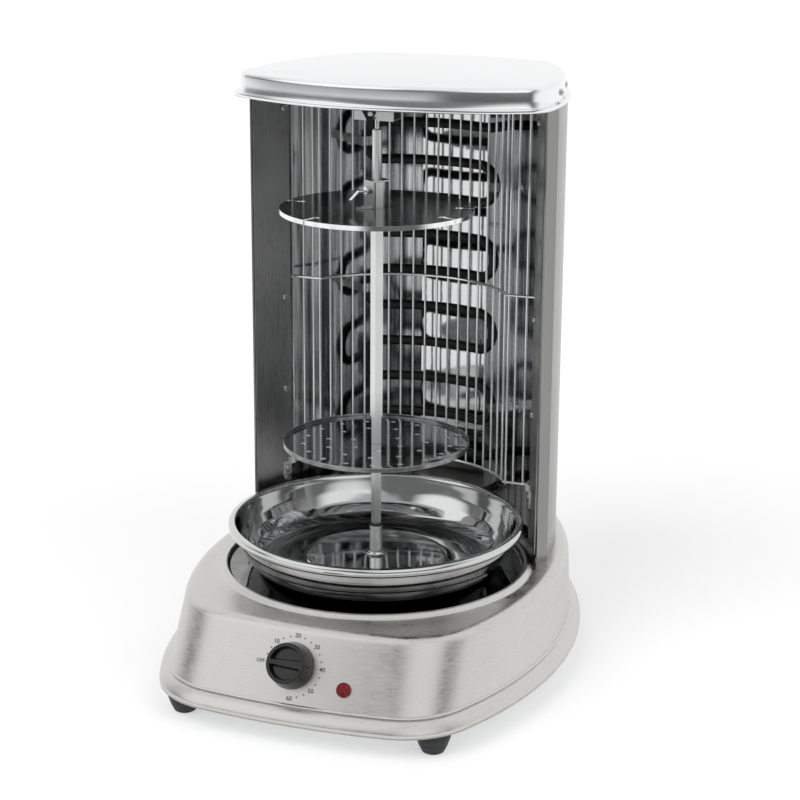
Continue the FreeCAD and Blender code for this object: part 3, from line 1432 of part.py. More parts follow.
def make_top_bracket():
    low = wall_top - top_bracket_drop
    front = -top_bracket_front
    back = top_bracket_back
    half = top_bracket_half_width
    thick = bracket_sheet
    pieces = [block(-half, half, front, back, low, low + thick),
              block(-half, half, front, front + thick, low, wall_top),
              block(-half, half, back - thick, back, low, wall_top),
              block(-half, half, back, back + top_bracket_flange, wall_top - thick, wall_top)]
    bracket = fused(pieces)
    slot = pin_radius + pin_play
    bracket = bracket.cut(block(-slot, slot, front - 1, 0, low - 1, low + slot_height))
    bracket = bracket.cut(Part.makeCylinder(slot, slot_height + 1, Vector(0, 0, low - 1)))
    pivot = keeper_pivot() - spindle
    bracket = bracket.cut(rod(keeper_screw_radius + thread_play, pivot,
                              pivot + Vector(0, 3 * bracket_sheet + keeper_sheet, 0)))
    bracket = bracket.translated(spindle)
    for place in top_rivet_places():
        bracket = bracket.cut(rod(rivet_radius + thread_play, place, place + Vector(0, 0, wall_top + run_out)))
    save("top_bracket", bracket)
    rivets = []
    for place in top_rivet_places():
        shank = rod(rivet_radius, place + Vector(0, 0, wall_top - thick), place + Vector(0, 0, top_plate_top))
        heads = [Part.makeCone(rivet_head_radius, rivet_head_radius * 0.5, rivet_head_height,
                               place + Vector(0, 0, top_plate_top)),
                 Part.makeCone(rivet_head_radius, rivet_head_radius * 0.5, rivet_head_height,
                               place + Vector(0, 0, wall_top - thick), Vector(0, 0, -1))]
        rivets.append(fused([shank] + heads))
    save("bracket_rivets", *rivets)


def keeper_pivot():
    """Point on the keeper's pivot axis, at the front face of the keeper."""
    front = spindle_y - top_bracket_front - gap - keeper_sheet
    return Vector(keeper_x, front, wall_top - keeper_drop)


def make_keeper():
    pivot = keeper_pivot()
    top = keeper_drop - 1.5
    tip = neck_top - pivot.z + 0.6
    points = [(-7.8, top), (3.2, top), (3.2, -0.4), (1.6, -2.6), (0.9, tip), (-2.2, tip + 0.4),
              (-4.4, -4.5), (-7.8, 1.4)]
    corners = [Vector(x, 0, z) for x, z in points]
    solid = Part.Face(Part.makePolygon(corners + corners[:1])).extrude(Vector(0, keeper_sheet, 0))
    solid = solid.translated(pivot)
    solid = solid.cut(rod(keeper_screw_radius + running_play, pivot - Vector(0, 1, 0),
                          pivot + Vector(0, keeper_sheet + 1, 0)))
    save("keeper", solid)
    frame = frame_at(pivot - Vector(0, gap, 0), Vector(0, -1, 0))
    save("keeper_screw", screw(frame, keeper_screw_radius, keeper_screw_head,
                               2 * gap + keeper_sheet + 2 * bracket_sheet))


make_base_shell()
make_bottom_plate()
make_feet()
make_timer()
make_lamp()
make_drive()
make_inlet()
make_wiring()
make_pan()
make_spindle()
make_lower_disc()
make_upper_disc()
make_clamp()
make_wall()
make_liners()
make_reflector()
make_guard()
make_guard_clips()
make_heater()
make_heater_clips()
make_lid()
make_top_plate()
make_top_bracket()
make_keeper()
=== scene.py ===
import json
import math

import bmesh
import bpy
import numpy as np
from mathutils import Matrix, Vector

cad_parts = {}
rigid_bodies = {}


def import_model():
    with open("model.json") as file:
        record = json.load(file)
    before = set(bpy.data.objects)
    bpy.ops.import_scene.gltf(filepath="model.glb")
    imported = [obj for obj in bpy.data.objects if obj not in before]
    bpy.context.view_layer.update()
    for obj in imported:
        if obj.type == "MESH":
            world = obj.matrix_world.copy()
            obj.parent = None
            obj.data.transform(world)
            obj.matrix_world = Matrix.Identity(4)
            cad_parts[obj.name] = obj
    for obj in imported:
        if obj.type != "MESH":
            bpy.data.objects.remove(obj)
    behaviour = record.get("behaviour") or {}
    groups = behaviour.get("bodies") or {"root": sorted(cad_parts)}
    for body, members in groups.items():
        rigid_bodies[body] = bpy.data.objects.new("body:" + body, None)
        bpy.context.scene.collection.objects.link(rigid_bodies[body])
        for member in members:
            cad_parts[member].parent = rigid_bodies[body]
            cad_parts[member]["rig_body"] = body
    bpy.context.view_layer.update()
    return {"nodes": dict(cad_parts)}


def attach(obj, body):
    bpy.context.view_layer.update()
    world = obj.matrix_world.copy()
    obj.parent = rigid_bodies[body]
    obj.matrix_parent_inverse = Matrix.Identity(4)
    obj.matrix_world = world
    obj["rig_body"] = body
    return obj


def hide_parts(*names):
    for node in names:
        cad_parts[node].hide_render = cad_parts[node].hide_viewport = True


mm = 0.001
spindleY = -26.0

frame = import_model()
scene = bpy.context.scene
scene.view_settings.view_transform = "Standard"
print("frame loaded")


def toLinear(hexColour):
    # sRGB hex to linear rgba
    values = [int(hexColour[i:i + 2], 16) / 255 for i in (1, 3, 5)]
    linear = [v / 12.92 if v <= 0.04045 else ((v + 0.055) / 1.055) ** 2.4 for v in values]
    return linear + [1.0]


def addNode(tree, kind, settings=None, links=None):
    # one node: settings by socket or property name, links as socket name -> (node, output)
    node = tree.nodes.new(kind)
    for name, value in (settings or {}).items():
        if isinstance(name, int) or name in node.inputs:
            node.inputs[name].default_value = value
        else:
            setattr(node, name, value)
    for name, (source, output) in (links or {}).items():
        tree.links.new(source.outputs[output], node.inputs[name])
    return node


def ramp(tree, source, output, span, dark, pale):
    # colour that goes from dark to pale as the source goes through the span
    node = addNode(tree, "ShaderNodeValToRGB", links={"Fac": (source, output)})
    for element, position, colour in zip(node.color_ramp.elements, span, (dark, pale)):
        element.position, element.color = position, colour
    return node


def newMaterial(name):
    # an empty material and its node tree
    material = bpy.data.materials.new(name)
    material.use_nodes = True
    material.node_tree.nodes.clear()
    return material, material.node_tree


# Parts of a piece with a finish of their own, whose colour is painted light: shade in the well, reflections on the
# wings and on the carrying disc's rim, a highlight on the pressing disc's rim. The point is scaled and shifted, so
# that its length is its distance from the spindle or from the middle plane, and the finish comes in between the two
# edges, in mm.
roundSpindle = {"scale": (1, 1, 0), "shift": (0, -spindleY * mm, 0)}
# the drawn well's darker colour is painted shade and painted reflection of the dark drip pan above it
finishAreas = {"shadedWell": {**roundSpindle, "edges": (127.0, 125.6)},
               # on the reflector's wings, upright light and dark streaks are painted reflections of the guard's rods
               "rodReflectionWings": {"scale": (1, 0, 0), "shift": (0, 0, 0), "edges": (31.8, 32.6)},
               # upright faces of the carrying disc's rim: a darker colour, painted reflection of the dark pan
               "rim": {**roundSpindle, "edges": (77.0, 77.3), "upright": True},
               # upright faces of the pressing disc's rim: near white, a painted highlight
               "highlightPressRim": {**roundSpindle, "edges": (60.0, 60.5), "upright": True}}
uprightEdges = (0.5, 0.2)  # a face is upright where its normal's rise falls through these


def areaMask(tree, place, area):
    # 1 in the drawn well round the spindle, on the slanted wings of the reflector, or on the upright faces of a
    # disc's rim
    # and notches, and 0 elsewhere: the areas that get painted shade, painted reflections and a painted highlight
    spec = finishAreas[area]
    point = addNode(tree, "ShaderNodeVectorMath", {"operation": "MULTIPLY_ADD", 1: spec["scale"], 2: spec["shift"]},
                    {0: (place, "Object")})
    reach = addNode(tree, "ShaderNodeVectorMath", {"operation": "LENGTH"}, {0: (point, 0)})
    inside = addNode(tree, "ShaderNodeMapRange", {"From Min": spec["edges"][0] * mm,
                     "From Max": spec["edges"][1] * mm}, {"Value": (reach, "Value")})
    if not spec.get("upright"):
        return inside
    facing = addNode(tree, "ShaderNodeSeparateXYZ", links={0: (addNode(tree, "ShaderNodeNewGeometry"), "Normal")})
    level = addNode(tree, "ShaderNodeMath", {"operation": "ABSOLUTE"}, {0: (facing, "Z")})
    upright = addNode(tree, "ShaderNodeMapRange", {"From Min": uprightEdges[0], "From Max": uprightEdges[1]},
                      {"Value": (level, 0)})
    return addNode(tree, "ShaderNodeMath", {"operation": "MULTIPLY"}, {0: (inside, 0), 1: (upright, 0)})


grainDetail, cloudDetail = 4.0, 3.0  # octaves in a sheet's grain, and in its clouds and streaks


def stretchedNoise(tree, place, sizeMm, stretch, detail):
    # noise of one real size, drawn out along the directions whose stretch is small
    mapping = addNode(tree, "ShaderNodeMapping", {"Scale": [s / (sizeMm * mm) for s in stretch]},
                      {"Vector": (place, "Object")})
    return addNode(tree, "ShaderNodeTexNoise", {"Scale": 1.0, "Detail": detail, "Roughness": 0.6},
                   {"Vector": (mapping, "Vector")})


noiseSpan = (0.3, 0.7)  # most of a noise lies between these
streakSpan = (0.36, 0.64)  # closer, so that streaks have a clear light and dark side
cloudShare = 0.35  # how much of a sheet's look is clouding, the rest being grain
cloudPerGrain = 0.12  # scale of a solid's clouding against that of its grain
glossSpread = 0.15  # how far a solid's roughness wanders, as a share of it


def sheetSteel(name, colour, roughness, spread, grainMm, stretch, bumpMm, cloudMm, cloudDepth, patch=None):
    # Stainless sheet. A rolled or brushed grain is noise drawn out along one direction, and slow
    # clouding shows where a hand has wiped the surface. A patch gives one area a second finish, whose colours
    # are painted light: shade, reflections and a highlight, one kind to each area.
    # Real grain is about 0.1 mm wide. It is drawn near 1 mm, or it wouldn't show in the render.
    material, tree = newMaterial(name)
    place = addNode(tree, "ShaderNodeTexCoord")
    grain = stretchedNoise(tree, place, grainMm, stretch, grainDetail)
    cloud = stretchedNoise(tree, place, cloudMm, (1.0, 1.0, 1.0), cloudDetail)
    both = addNode(tree, "ShaderNodeMix", {"data_type": "FLOAT", "Factor": cloudShare},
                   {"A": (grain, "Fac"), "B": (cloud, "Fac")})
    rough = addNode(tree, "ShaderNodeMapRange", {"From Min": noiseSpan[0], "From Max": noiseSpan[1],
                    "To Min": roughness - spread, "To Max": roughness + spread}, {"Value": (both, 0)})
    pale = toLinear(colour)
    dark = [c * (1 - cloudDepth) for c in pale[:3]] + [1.0]
    tint = ramp(tree, both, 0, noiseSpan, dark, pale)
    bump = addNode(tree, "ShaderNodeBump", {"Strength": 1.0, "Distance": bumpMm * mm}, {"Height": (grain, "Fac")})
    links = {"Base Color": (tint, 0), "Roughness": (rough, 0), "Normal": (bump, 0)}
    if patch:
        # the patch's colours are painted shade, painted reflections and a painted highlight, each in its own area
        mask = areaMask(tree, place, patch["area"])
        streak = stretchedNoise(tree, place, patch["streakMm"], patch["stretch"], cloudDetail)
        other = ramp(tree, streak, "Fac", streakSpan, toLinear(patch["dark"]), toLinear(patch["pale"]))
        # sockets 6 and 7 are a Mix node's two colours, and output 2 is its colour
        colours = addNode(tree, "ShaderNodeMix", {"data_type": "RGBA"}, {0: (mask, 0), 6: (tint, 0), 7: (other, 0)})
        gloss = addNode(tree, "ShaderNodeMix", {"data_type": "FLOAT", "B": patch["roughness"]},
                        {"Factor": (mask, 0), "A": (rough, 0)})
        waves = addNode(tree, "ShaderNodeBump", {"Distance": patch["bumpMm"] * mm},
                        {"Strength": (mask, 0), "Height": (streak, "Fac"), "Normal": (bump, 0)})
        links = {"Base Color": (colours, 2), "Roughness": (gloss, 0), "Normal": (waves, 0)}
    shader = addNode(tree, "ShaderNodeBsdfPrincipled", {"Metallic": 1.0}, links)
    addNode(tree, "ShaderNodeOutputMaterial", links={"Surface": (shader, 0)})
    return material


def plainSolid(name, colour, roughness, metallic, grainMm, bumpMm, shade, extra=None):
    # Moulded, plated or enamelled surface: fine grain in the bump, slight clouding in colour and gloss.
    material, tree = newMaterial(name)
    place = addNode(tree, "ShaderNodeTexCoord")
    grain = addNode(tree, "ShaderNodeTexNoise", {"Scale": 1 / (grainMm * mm), "Detail": 4.0},
                    {"Vector": (place, "Object")})
    cloud = addNode(tree, "ShaderNodeTexNoise", {"Scale": cloudPerGrain / (grainMm * mm), "Detail": 2.0},
                    {"Vector": (place, "Object")})
    pale = toLinear(colour)
    dark = [c * (1 - shade) for c in pale[:3]] + [1.0]
    tint = ramp(tree, cloud, "Fac", noiseSpan, dark, pale)
    rough = addNode(tree, "ShaderNodeMapRange", {"From Min": noiseSpan[0], "From Max": noiseSpan[1],
                    "To Min": roughness * (1 - glossSpread), "To Max": roughness * (1 + glossSpread)},
                    {"Value": (cloud, "Fac")})
    bump = addNode(tree, "ShaderNodeBump", {"Strength": 1.0, "Distance": bumpMm * mm}, {"Height": (grain, "Fac")})
    shader = addNode(tree, "ShaderNodeBsdfPrincipled", {"Metallic": metallic, **(extra or {})},
                     {"Base Color": (tint, "Color"), "Roughness": (rough, "Result"), "Normal": (bump, "Normal")})
    addNode(tree, "ShaderNodeOutputMaterial", links={"Surface": (shader, 0)})
    return material


# satin stainless sheet, pressed: soft broad highlights, a fine level grain that runs round the cover, and
# a polished drawn well whose darker colour is painted shade and painted reflection of the drip pan
satinSteel = sheetSteel("satinStainlessSheet", "#d9d7d3", 0.34, 0.15, 0.9, (0.10, 0.10, 1.0), 0.009, 55, 0.24,
                        {"area": "shadedWell", "streakMm": 30.0, "stretch": (1, 1, 1), "dark": "#6d6d6c",
                         "pale": "#868685", "roughness": 0.07, "bumpMm": 0.02})
# the same sheet bent into the wall, its darker colour painted shade, with a grain that runs up and down
shadedWallSteel = sheetSteel("shadedSatinStainlessWall", "#8f8f8e", 0.27, 0.06, 0.9, (1.0, 1.0, 0.03), 0.008, 90, 0.16)
# plain rolled stainless of the liners: dull grey, blurred reflections, upright grain
linerSteel = sheetSteel("rolledStainlessLiner", "#aeaead", 0.32, 0.10, 0.9, (1.0, 1.0, 0.03), 0.006, 60, 0.22)
# mirror-polished stainless: clear reflections, slightly wavy
mirrorSteel = sheetSteel("mirrorPolishedStainless", "#cfd0d0", 0.07, 0.03, 6.0, (1.0, 1.0, 1.0), 0.012, 50, 0.06)
# bright reflector sheet: its middle is a clear mirror, its wings carry upright light and dark streaks that are
# painted reflections of the guard's rods
reflectorSteel = sheetSteel("brightRolledReflector", "#dadbdc", 0.055, 0.02, 14.0, (1.0, 1.0, 0.5), 0.03, 60, 0.08,
                            {"area": "rodReflectionWings", "streakMm": 5.0, "stretch": (1, 0.4, 0.02), "dark": "#66676a",
                             "pale": "#f6f7f8", "roughness": 0.11, "bumpMm": 0.10})
# the carrying disc: bright, with duller upright rim faces whose darker colour is a painted reflection of the dark
# pan; the pressing disc: brushed, so it mirrors softly
lowerDiscSteel = sheetSteel("polishedDiscSteel", "#c2c3c4", 0.08, 0.03, 6.0, (1.0, 1.0, 1.0), 0.012, 50, 0.08,
                            {"area": "rim", "streakMm": 8.0, "stretch": (1, 1, 1), "dark": "#6d6e6f",
                             "pale": "#8f9091", "roughness": 0.2, "bumpMm": 0.01})
# the pressing disc is a darker grey than the carrying disc; its upright rim faces are painted near white as a painted
# highlight
upperDiscSteel = sheetSteel("brushedDiscSteel", "#828384", 0.13, 0.05, 6.0, (1.0, 1.0, 1.0), 0.010, 40, 0.2,
                            {"area": "highlightPressRim", "streakMm": 8.0, "stretch": (1, 1, 1), "dark": "#e6e7e8",
                             "pale": "#f6f7f8", "roughness": 0.16, "bumpMm": 0.01})
# bent strip of the clamp, nickel plated: glossy with cloudy patches
bracketSteel = plainSolid("platedBracketSteel", "#b9babb", 0.2, 1.0, 0.8, 0.01, 0.3)
# buffed stainless of the lid: pale, almost clean, with faint lines from side to side
lidSteel = sheetSteel("polishedStainlessLid", "#eef0f1", 0.17, 0.05, 1.2, (0.05, 1.0, 1.0), 0.004, 80, 0.04)
# square bar, drawn and brushed: catches light from all sides
barSteel = sheetSteel("drawnStainlessBar", "#f0f1f1", 0.40, 0.10, 0.7, (1.0, 1.0, 0.03), 0.008, 30, 0.08)
# chromed wire: bright with a cool cast
chromeWire = plainSolid("chromedWire", "#eff1f2", 0.17, 1.0, 0.8, 0.003, 0.06)
# zinc plate: pale and dull, cloudy
zincSteel = plainSolid("zincPlatedSteel", "#d3d6d7", 0.36, 1.0, 0.6, 0.008, 0.18)
# dull nickel plate of the guard's clips: pale and slightly warm
clipSteel = plainSolid("dullNickelPlate", "#ecebe5", 0.5, 0.45, 0.6, 0.01, 0.1)
# turned and barrel-polished screws: small bright glints
screwSteel = plainSolid("brightScrewSteel", "#cfcfcf", 0.18, 1.0, 0.5, 0.004, 0.1)
# sheath blackened by heat: matt and near black
elementSteel = plainSolid("heatBlackenedSheath", "#121212", 0.5, 0.1, 0.5, 0.02, 0.35)
# ABS moulding of the knob: smooth, black and glossy
knobPlastic = plainSolid("glossBlackAbs", "#0d0e0f", 0.20, 0.0, 0.5, 0.003, 0.08, {"IOR": 1.49})
# nylon mouldings, black or white: matt
blackPlastic = plainSolid("mattBlackNylon", "#222222", 0.5, 0.0, 0.5, 0.01, 0.15, {"IOR": 1.53})
whitePlastic = plainSolid("whiteNylon", "#dcd8ce", 0.45, 0.0, 0.5, 0.008, 0.06, {"IOR": 1.53})
# moulded rubber: matt blue-black
footRubber = plainSolid("mouldedRubber", "#22272a", 0.55, 0.0, 0.4, 0.015, 0.2, {"IOR": 1.5})
# blackened spring steel of the keeper: dark with a soft sheen
blackSteel = plainSolid("blackenedSteel", "#1b1b1b", 0.4, 0.6, 0.5, 0.01, 0.2)
# glazed ceramic end pieces: cream and glossy
ceramic = plainSolid("glazedCeramic", "#e2ded2", 0.3, 0.0, 0.6, 0.006, 0.06, {"IOR": 1.5})
# turned bronze bush: golden, bright
bronze = plainSolid("turnedBronze", "#b98f4f", 0.3, 1.0, 0.4, 0.006, 0.15)
# silicone sleeve on the leads: rust red and matt
leadSleeve = plainSolid("siliconeSleeve", "#8c2a22", 0.5, 0.0, 0.4, 0.01, 0.12, {"IOR": 1.45})
# screen printed ink: flat black
printInk = plainSolid("screenPrintInk", "#141414", 0.45, 0.0, 0.4, 0.002, 0.1, {"IOR": 1.5})
# clear red polycarbonate over a neon lamp, with deep dark patches in its colour as painted shade of its facets
lensPlastic = plainSolid("redPolycarbonate", "#940216", 0.08, 0.0, 0.22, 0.003, 0.85,
                         {"IOR": 1.36, "Transmission Weight": 0.1})
print("materials made")

nodeMaterials = {
    "base_shell": satinSteel, "bottom_plate": zincSteel, "plate_screws": screwSteel, "feet": footRubber,
    "foot_screws": screwSteel, "timer_body": whitePlastic, "timer_nut": zincSteel, "timer_shaft": zincSteel,
    "timer_knob": knobPlastic, "lamp_lens": lensPlastic, "lamp_holder": blackPlastic, "lamp_clip": zincSteel,
    "hub_bush": bronze, "drive_hub": barSteel, "output_shaft": zincSteel, "gear_case": zincSteel,
    "gear_motor": zincSteel, "motor_bracket": zincSteel, "motor_screws": screwSteel, "cord_gland": blackPlastic,
    "terminal_block": whitePlastic, "wiring": leadSleeve, "drip_pan": mirrorSteel, "spindle": barSteel,
    "disc_pin": barSteel, "spindle_seal": footRubber, "lower_disc": lowerDiscSteel, "upper_disc": upperDiscSteel,
    "clamp_rivets": screwSteel, "clamp_bracket": bracketSteel, "wing_screw": chromeWire, "housing_wall": shadedWallSteel,
    "wall_screws": screwSteel, "side_liner_right": linerSteel, "side_liner_left": linerSteel,
    "liner_screws": screwSteel, "reflector": reflectorSteel, "wire_guard": chromeWire, "guard_clips": clipSteel,
    "guard_screws": screwSteel, "heating_element": elementSteel, "heater_terminals": ceramic,
    "heater_clips": screwSteel, "heater_clip_screws": screwSteel, "lid": lidSteel, "lid_screws": screwSteel,
    "top_plate": satinSteel, "top_bracket": zincSteel, "bracket_rivets": screwSteel, "keeper": blackSteel,
    "keeper_screw": screwSteel,
}
for nodeName, material in nodeMaterials.items():
    node = frame["nodes"][nodeName]
    node.data.materials.clear()
    node.data.materials.append(material)


def addGrid(name, points, material, body, smoothDegrees, closeEnd=False):
    # points is an array (rows, columns, 3) in mm, and each row is a closed ring. Quads join neighbours, and a fan
    # round the last row's middle closes that end where it is asked for.
    rows, columns = points.shape[:2]
    index = np.arange(rows * columns).reshape(rows, columns)
    ahead = np.roll(index, -1, axis=1)
    faces = np.stack([index[:-1], ahead[:-1], ahead[1:], index[1:]], axis=-1).reshape(-1, 4).tolist()
    corners = points.reshape(-1, 3)
    if closeEnd:
        hub = np.full(columns, len(corners))
        corners = np.vstack([corners, points[-1].mean(0)])
        faces += np.column_stack([ahead[-1], hub, index[-1]]).tolist()
    return addMesh(name, corners, faces, material, body, smoothDegrees)


def addMesh(name, cornersMm, faces, material, body, smoothDegrees):
    # a piece with its place in its mesh, riding on its body
    mesh = bpy.data.meshes.new(name)
    mesh.from_pydata((np.asarray(cornersMm) * mm).tolist(), [], faces)
    mesh.update()
    mesh.materials.append(material)
    piece = bpy.data.objects.new(name, mesh)
    scene.collection.objects.link(piece)
    shadeSmooth(mesh, smoothDegrees)
    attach(piece, body)
    return piece


def shadeSmooth(mesh, degrees):
    # smooth faces, with edges sharper than the angle kept crisp
    mesh.polygons.foreach_set("use_smooth", [True] * len(mesh.polygons))
    mesh.set_sharp_from_angle(angle=math.radians(degrees))


def revolve(profile, steps):
    # profile (r, z) turned about the spindle's axis
    angle = np.linspace(0, 2 * np.pi, steps, endpoint=False)
    r, z = profile[:, 0][:, None], profile[:, 1][:, None]
    return np.stack([r * np.cos(angle), spindleY + r * np.sin(angle), np.broadcast_to(z, (len(profile), steps))],
                    axis=-1)


runShare = 0.49  # a bend takes at most this share of a run, so that neighbouring bends don't meet


def rounded(profile, reachMm, steps):
    # the profile with each inner corner cut by a parabola that starts and ends at the reach from the corner
    p = np.asarray(profile, float)
    made = [p[:1]]
    t = np.linspace(0, 1, steps + 1)[:, None]
    for before, corner, after in zip(p[:-2], p[1:-1], p[2:]):
        back, ahead = before - corner, after - corner
        start = corner + back * min(runShare, reachMm / np.linalg.norm(back))
        finish = corner + ahead * min(runShare, reachMm / np.linalg.norm(ahead))
        made.append((1 - t) ** 2 * start + 2 * t * (1 - t) * corner + t ** 2 * finish)
    made.append(p[-1:])
    return np.vstack(made)


def cornerArc(halfWidth, reach, side, end, corner):
    # centre of the corner arc that touches the side arc and the end arc from inside, seen in the +x, -y quarter
    sideX, endY = halfWidth - side, end - reach
    r1, r2 = side - corner, end - corner
    apart = math.hypot(sideX, endY)
    along = (r1 * r1 - r2 * r2 + apart * apart) / (2 * apart)
    across = math.sqrt(r1 * r1 - along * along)
    toX, toY = -sideX / apart, endY / apart
    pair = [(sideX + toX * along - s * toY * across, toY * along + s * toX * across) for s in (1, -1)]
    return max(pair, key=lambda p: p[0] - p[1])


arcSteps = {"end": 28, "frontCorner": 20, "side": 28, "rearCorner": 20}


def outline(shape, inset=0.0):
    # Closed line of eight tangent arcs (front, corner, side, corner, rear and back again), drawn in by inset.
    # Each arc keeps its centre and loses inset from its radius, so insets are parallel.
    front = cornerArc(shape["halfWidth"], shape["front"], shape["side"], shape["frontRadius"], shape["frontCorner"])
    rear = cornerArc(shape["halfWidth"], shape["rear"], shape["side"], shape["rearRadius"], shape["rearCorner"])
    rear = (rear[0], -rear[1])
    sideCentre = (shape["halfWidth"] - shape["side"], 0.0)
    frontCentre = (0.0, shape["frontRadius"] - shape["front"])
    rearCentre = (0.0, shape["rear"] - shape["rearRadius"])

    def angleOf(point, centre):
        return math.atan2(point[1] - centre[1], point[0] - centre[0])

    frontEnd = angleOf(front, frontCentre)
    frontSide = angleOf(front, sideCentre)
    rearSide = angleOf(rear, sideCentre)
    rearEnd = angleOf(rear, rearCentre)
    arcs = [(frontCentre, shape["frontRadius"], -math.pi / 2, frontEnd, arcSteps["end"]),
            (front, shape["frontCorner"], frontEnd, frontSide, arcSteps["frontCorner"]),
            (sideCentre, shape["side"], frontSide, rearSide, arcSteps["side"]),
            (rear, shape["rearCorner"], rearSide, rearEnd, arcSteps["rearCorner"]),
            (rearCentre, shape["rearRadius"], rearEnd, math.pi / 2, arcSteps["end"])]
    made = []
    for centre, radius, start, finish, count in arcs:
        angle = np.linspace(start, finish, count, endpoint=False)
        r = radius - inset
        made.append(np.stack([centre[0] + r * np.cos(angle), centre[1] + r * np.sin(angle)], axis=-1))
    last = np.array([[0.0, shape["rear"] - inset]])
    right = np.vstack(made + [last])
    left = right[-2:0:-1] * [-1, 1]
    return np.vstack([right, left]) + [0.0, shape["y"]]


def atHeight(line, z):
    # a flat line lifted to one height
    return np.column_stack([line, np.full(len(line), float(z))])


def solidify(piece, thicknessMm):
    # the sheet's thickness, grown inwards from the surface made
    wall = piece.modifiers.new("wall", "SOLIDIFY")
    wall.thickness = thicknessMm * mm
    wall.offset = -1
    wall.use_even_offset = True


edgeLook = {"mergeMm": 0.002, "flatDegrees": 0.5, "sharpDegrees": 30, "segments": 2}


def crisp(nodeName, bevelMm):
    # a merged copy of a CAD node with its edges broken, as cut and tumbled metal has them
    source = frame["nodes"][nodeName]
    piece = source.copy()
    piece.data = source.data.copy()
    piece.name = nodeName + "Edged"
    for key in [key for key in piece.keys() if key.startswith("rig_")]:
        del piece[key]  # the frame's own marks stay on the node
    piece.parent = None
    scene.collection.objects.link(piece)
    shape = bmesh.new()
    shape.from_mesh(piece.data)
    bmesh.ops.remove_doubles(shape, verts=shape.verts, dist=edgeLook["mergeMm"] * mm)
    bmesh.ops.dissolve_limit(shape, angle_limit=math.radians(edgeLook["flatDegrees"]), verts=shape.verts,
                             edges=shape.edges)
    shape.to_mesh(piece.data)
    shape.free()
    shadeSmooth(piece.data, edgeLook["sharpDegrees"])
    bevel = piece.modifiers.new("edge", "BEVEL")
    bevel.width = bevelMm * mm
    bevel.segments = edgeLook["segments"]
    bevel.limit_method = "ANGLE"
    bevel.angle_limit = math.radians(edgeLook["sharpDegrees"])
    bevel.harden_normals = True
    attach(piece, source["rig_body"])
    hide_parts(nodeName)


# the photograph's camera: eye in mm, focal length in the photograph's pixels, angles in degrees
view = {"eye": (583.7, -1565.9, 713.5), "focalPx": 2042.79, "widthPx": 800, "sensorMm": 36.0,
        "clip": (0.05, 60.0), "azimuth": 20.76, "pitch": -16.25, "yaw": 0.69, "roll": 0.36}


def makeCamera():
    # level heading, then pitch and roll; the camera looks down its own -z
    data = bpy.data.cameras.new("viewCamera")
    data.sensor_width = view["sensorMm"]
    data.lens = view["focalPx"] / view["widthPx"] * view["sensorMm"]
    data.clip_start, data.clip_end = view["clip"]
    camera = bpy.data.objects.new("viewCamera", data)
    scene.collection.objects.link(camera)
    heading = math.radians(view["azimuth"] - view["yaw"])
    pitch = math.radians(view["pitch"])
    ahead = Vector((-math.sin(heading) * math.cos(pitch), math.cos(heading) * math.cos(pitch), math.sin(pitch)))
    right = Vector((math.cos(heading), math.sin(heading), 0.0))
    up = right.cross(ahead)
    roll = math.radians(view["roll"])
    rolledRight = right * math.cos(roll) + up * math.sin(roll)
    rolledUp = rolledRight.cross(ahead)
    turn = Matrix((rolledRight, rolledUp, -ahead)).transposed()
    camera.matrix_world = Matrix.Translation(Vector(view["eye"]) * mm) @ turn.to_4x4()
    scene.camera = camera


# floor and world: what the floor adds for the camera and mirrors, the even light, the levels that metal mirrors
# from the room in front, the backdrop behind and overhead, and where the last two come in along y and z
stageLook = {"floorColour": "#c6c6c6", "floorGlow": 0.48, "floorSize": 12.0, "skyLight": 0.55, "roomLevel": 0.2,
             "overhead": 0.95, "backdropEdges": (-0.25, 0.3), "overheadEdges": (0.35, 0.8)}
# soft glows that metal mirrors: direction, angles from its middle where it starts to fade and ends, brightness
glows = [{"azimuth": -136, "elevation": 38, "inner": 22, "outer": 36, "level": 1.18},
         {"azimuth": -46, "elevation": 31, "inner": 18, "outer": 36, "level": 1.1}]
# the dim side of the room, seen in metal only: direction, soft edges in degrees, where on the floor it starts,
# the light left there, and the light left far off in front, which comes in along -y
dimSide = {"azimuth": -50, "inner": 24, "outer": 46, "startsMm": (450, 850), "left": 0.12,
           "farMm": (2800, 3600), "farLeft": 0.5, "frontEdges": (0.0, -0.4)}


def shownRays(tree):
    # 1 for camera, mirror and see-through rays, 0 for the rays that only bring light to matt surfaces
    path = addNode(tree, "ShaderNodeLightPath")
    shiny = addNode(tree, "ShaderNodeMath", {"operation": "MAXIMUM"},
                    {0: (path, "Is Camera Ray"), 1: (path, "Is Glossy Ray")})
    return addNode(tree, "ShaderNodeMath", {"operation": "MAXIMUM"},
                   {0: (shiny, 0), 1: (path, "Is Transmission Ray")})


def direction(azimuth, elevation):
    # unit vector towards a place given by two angles in degrees
    a, e = math.radians(azimuth), math.radians(elevation)
    return Vector((math.cos(a) * math.cos(e), math.sin(a) * math.cos(e), math.sin(e)))


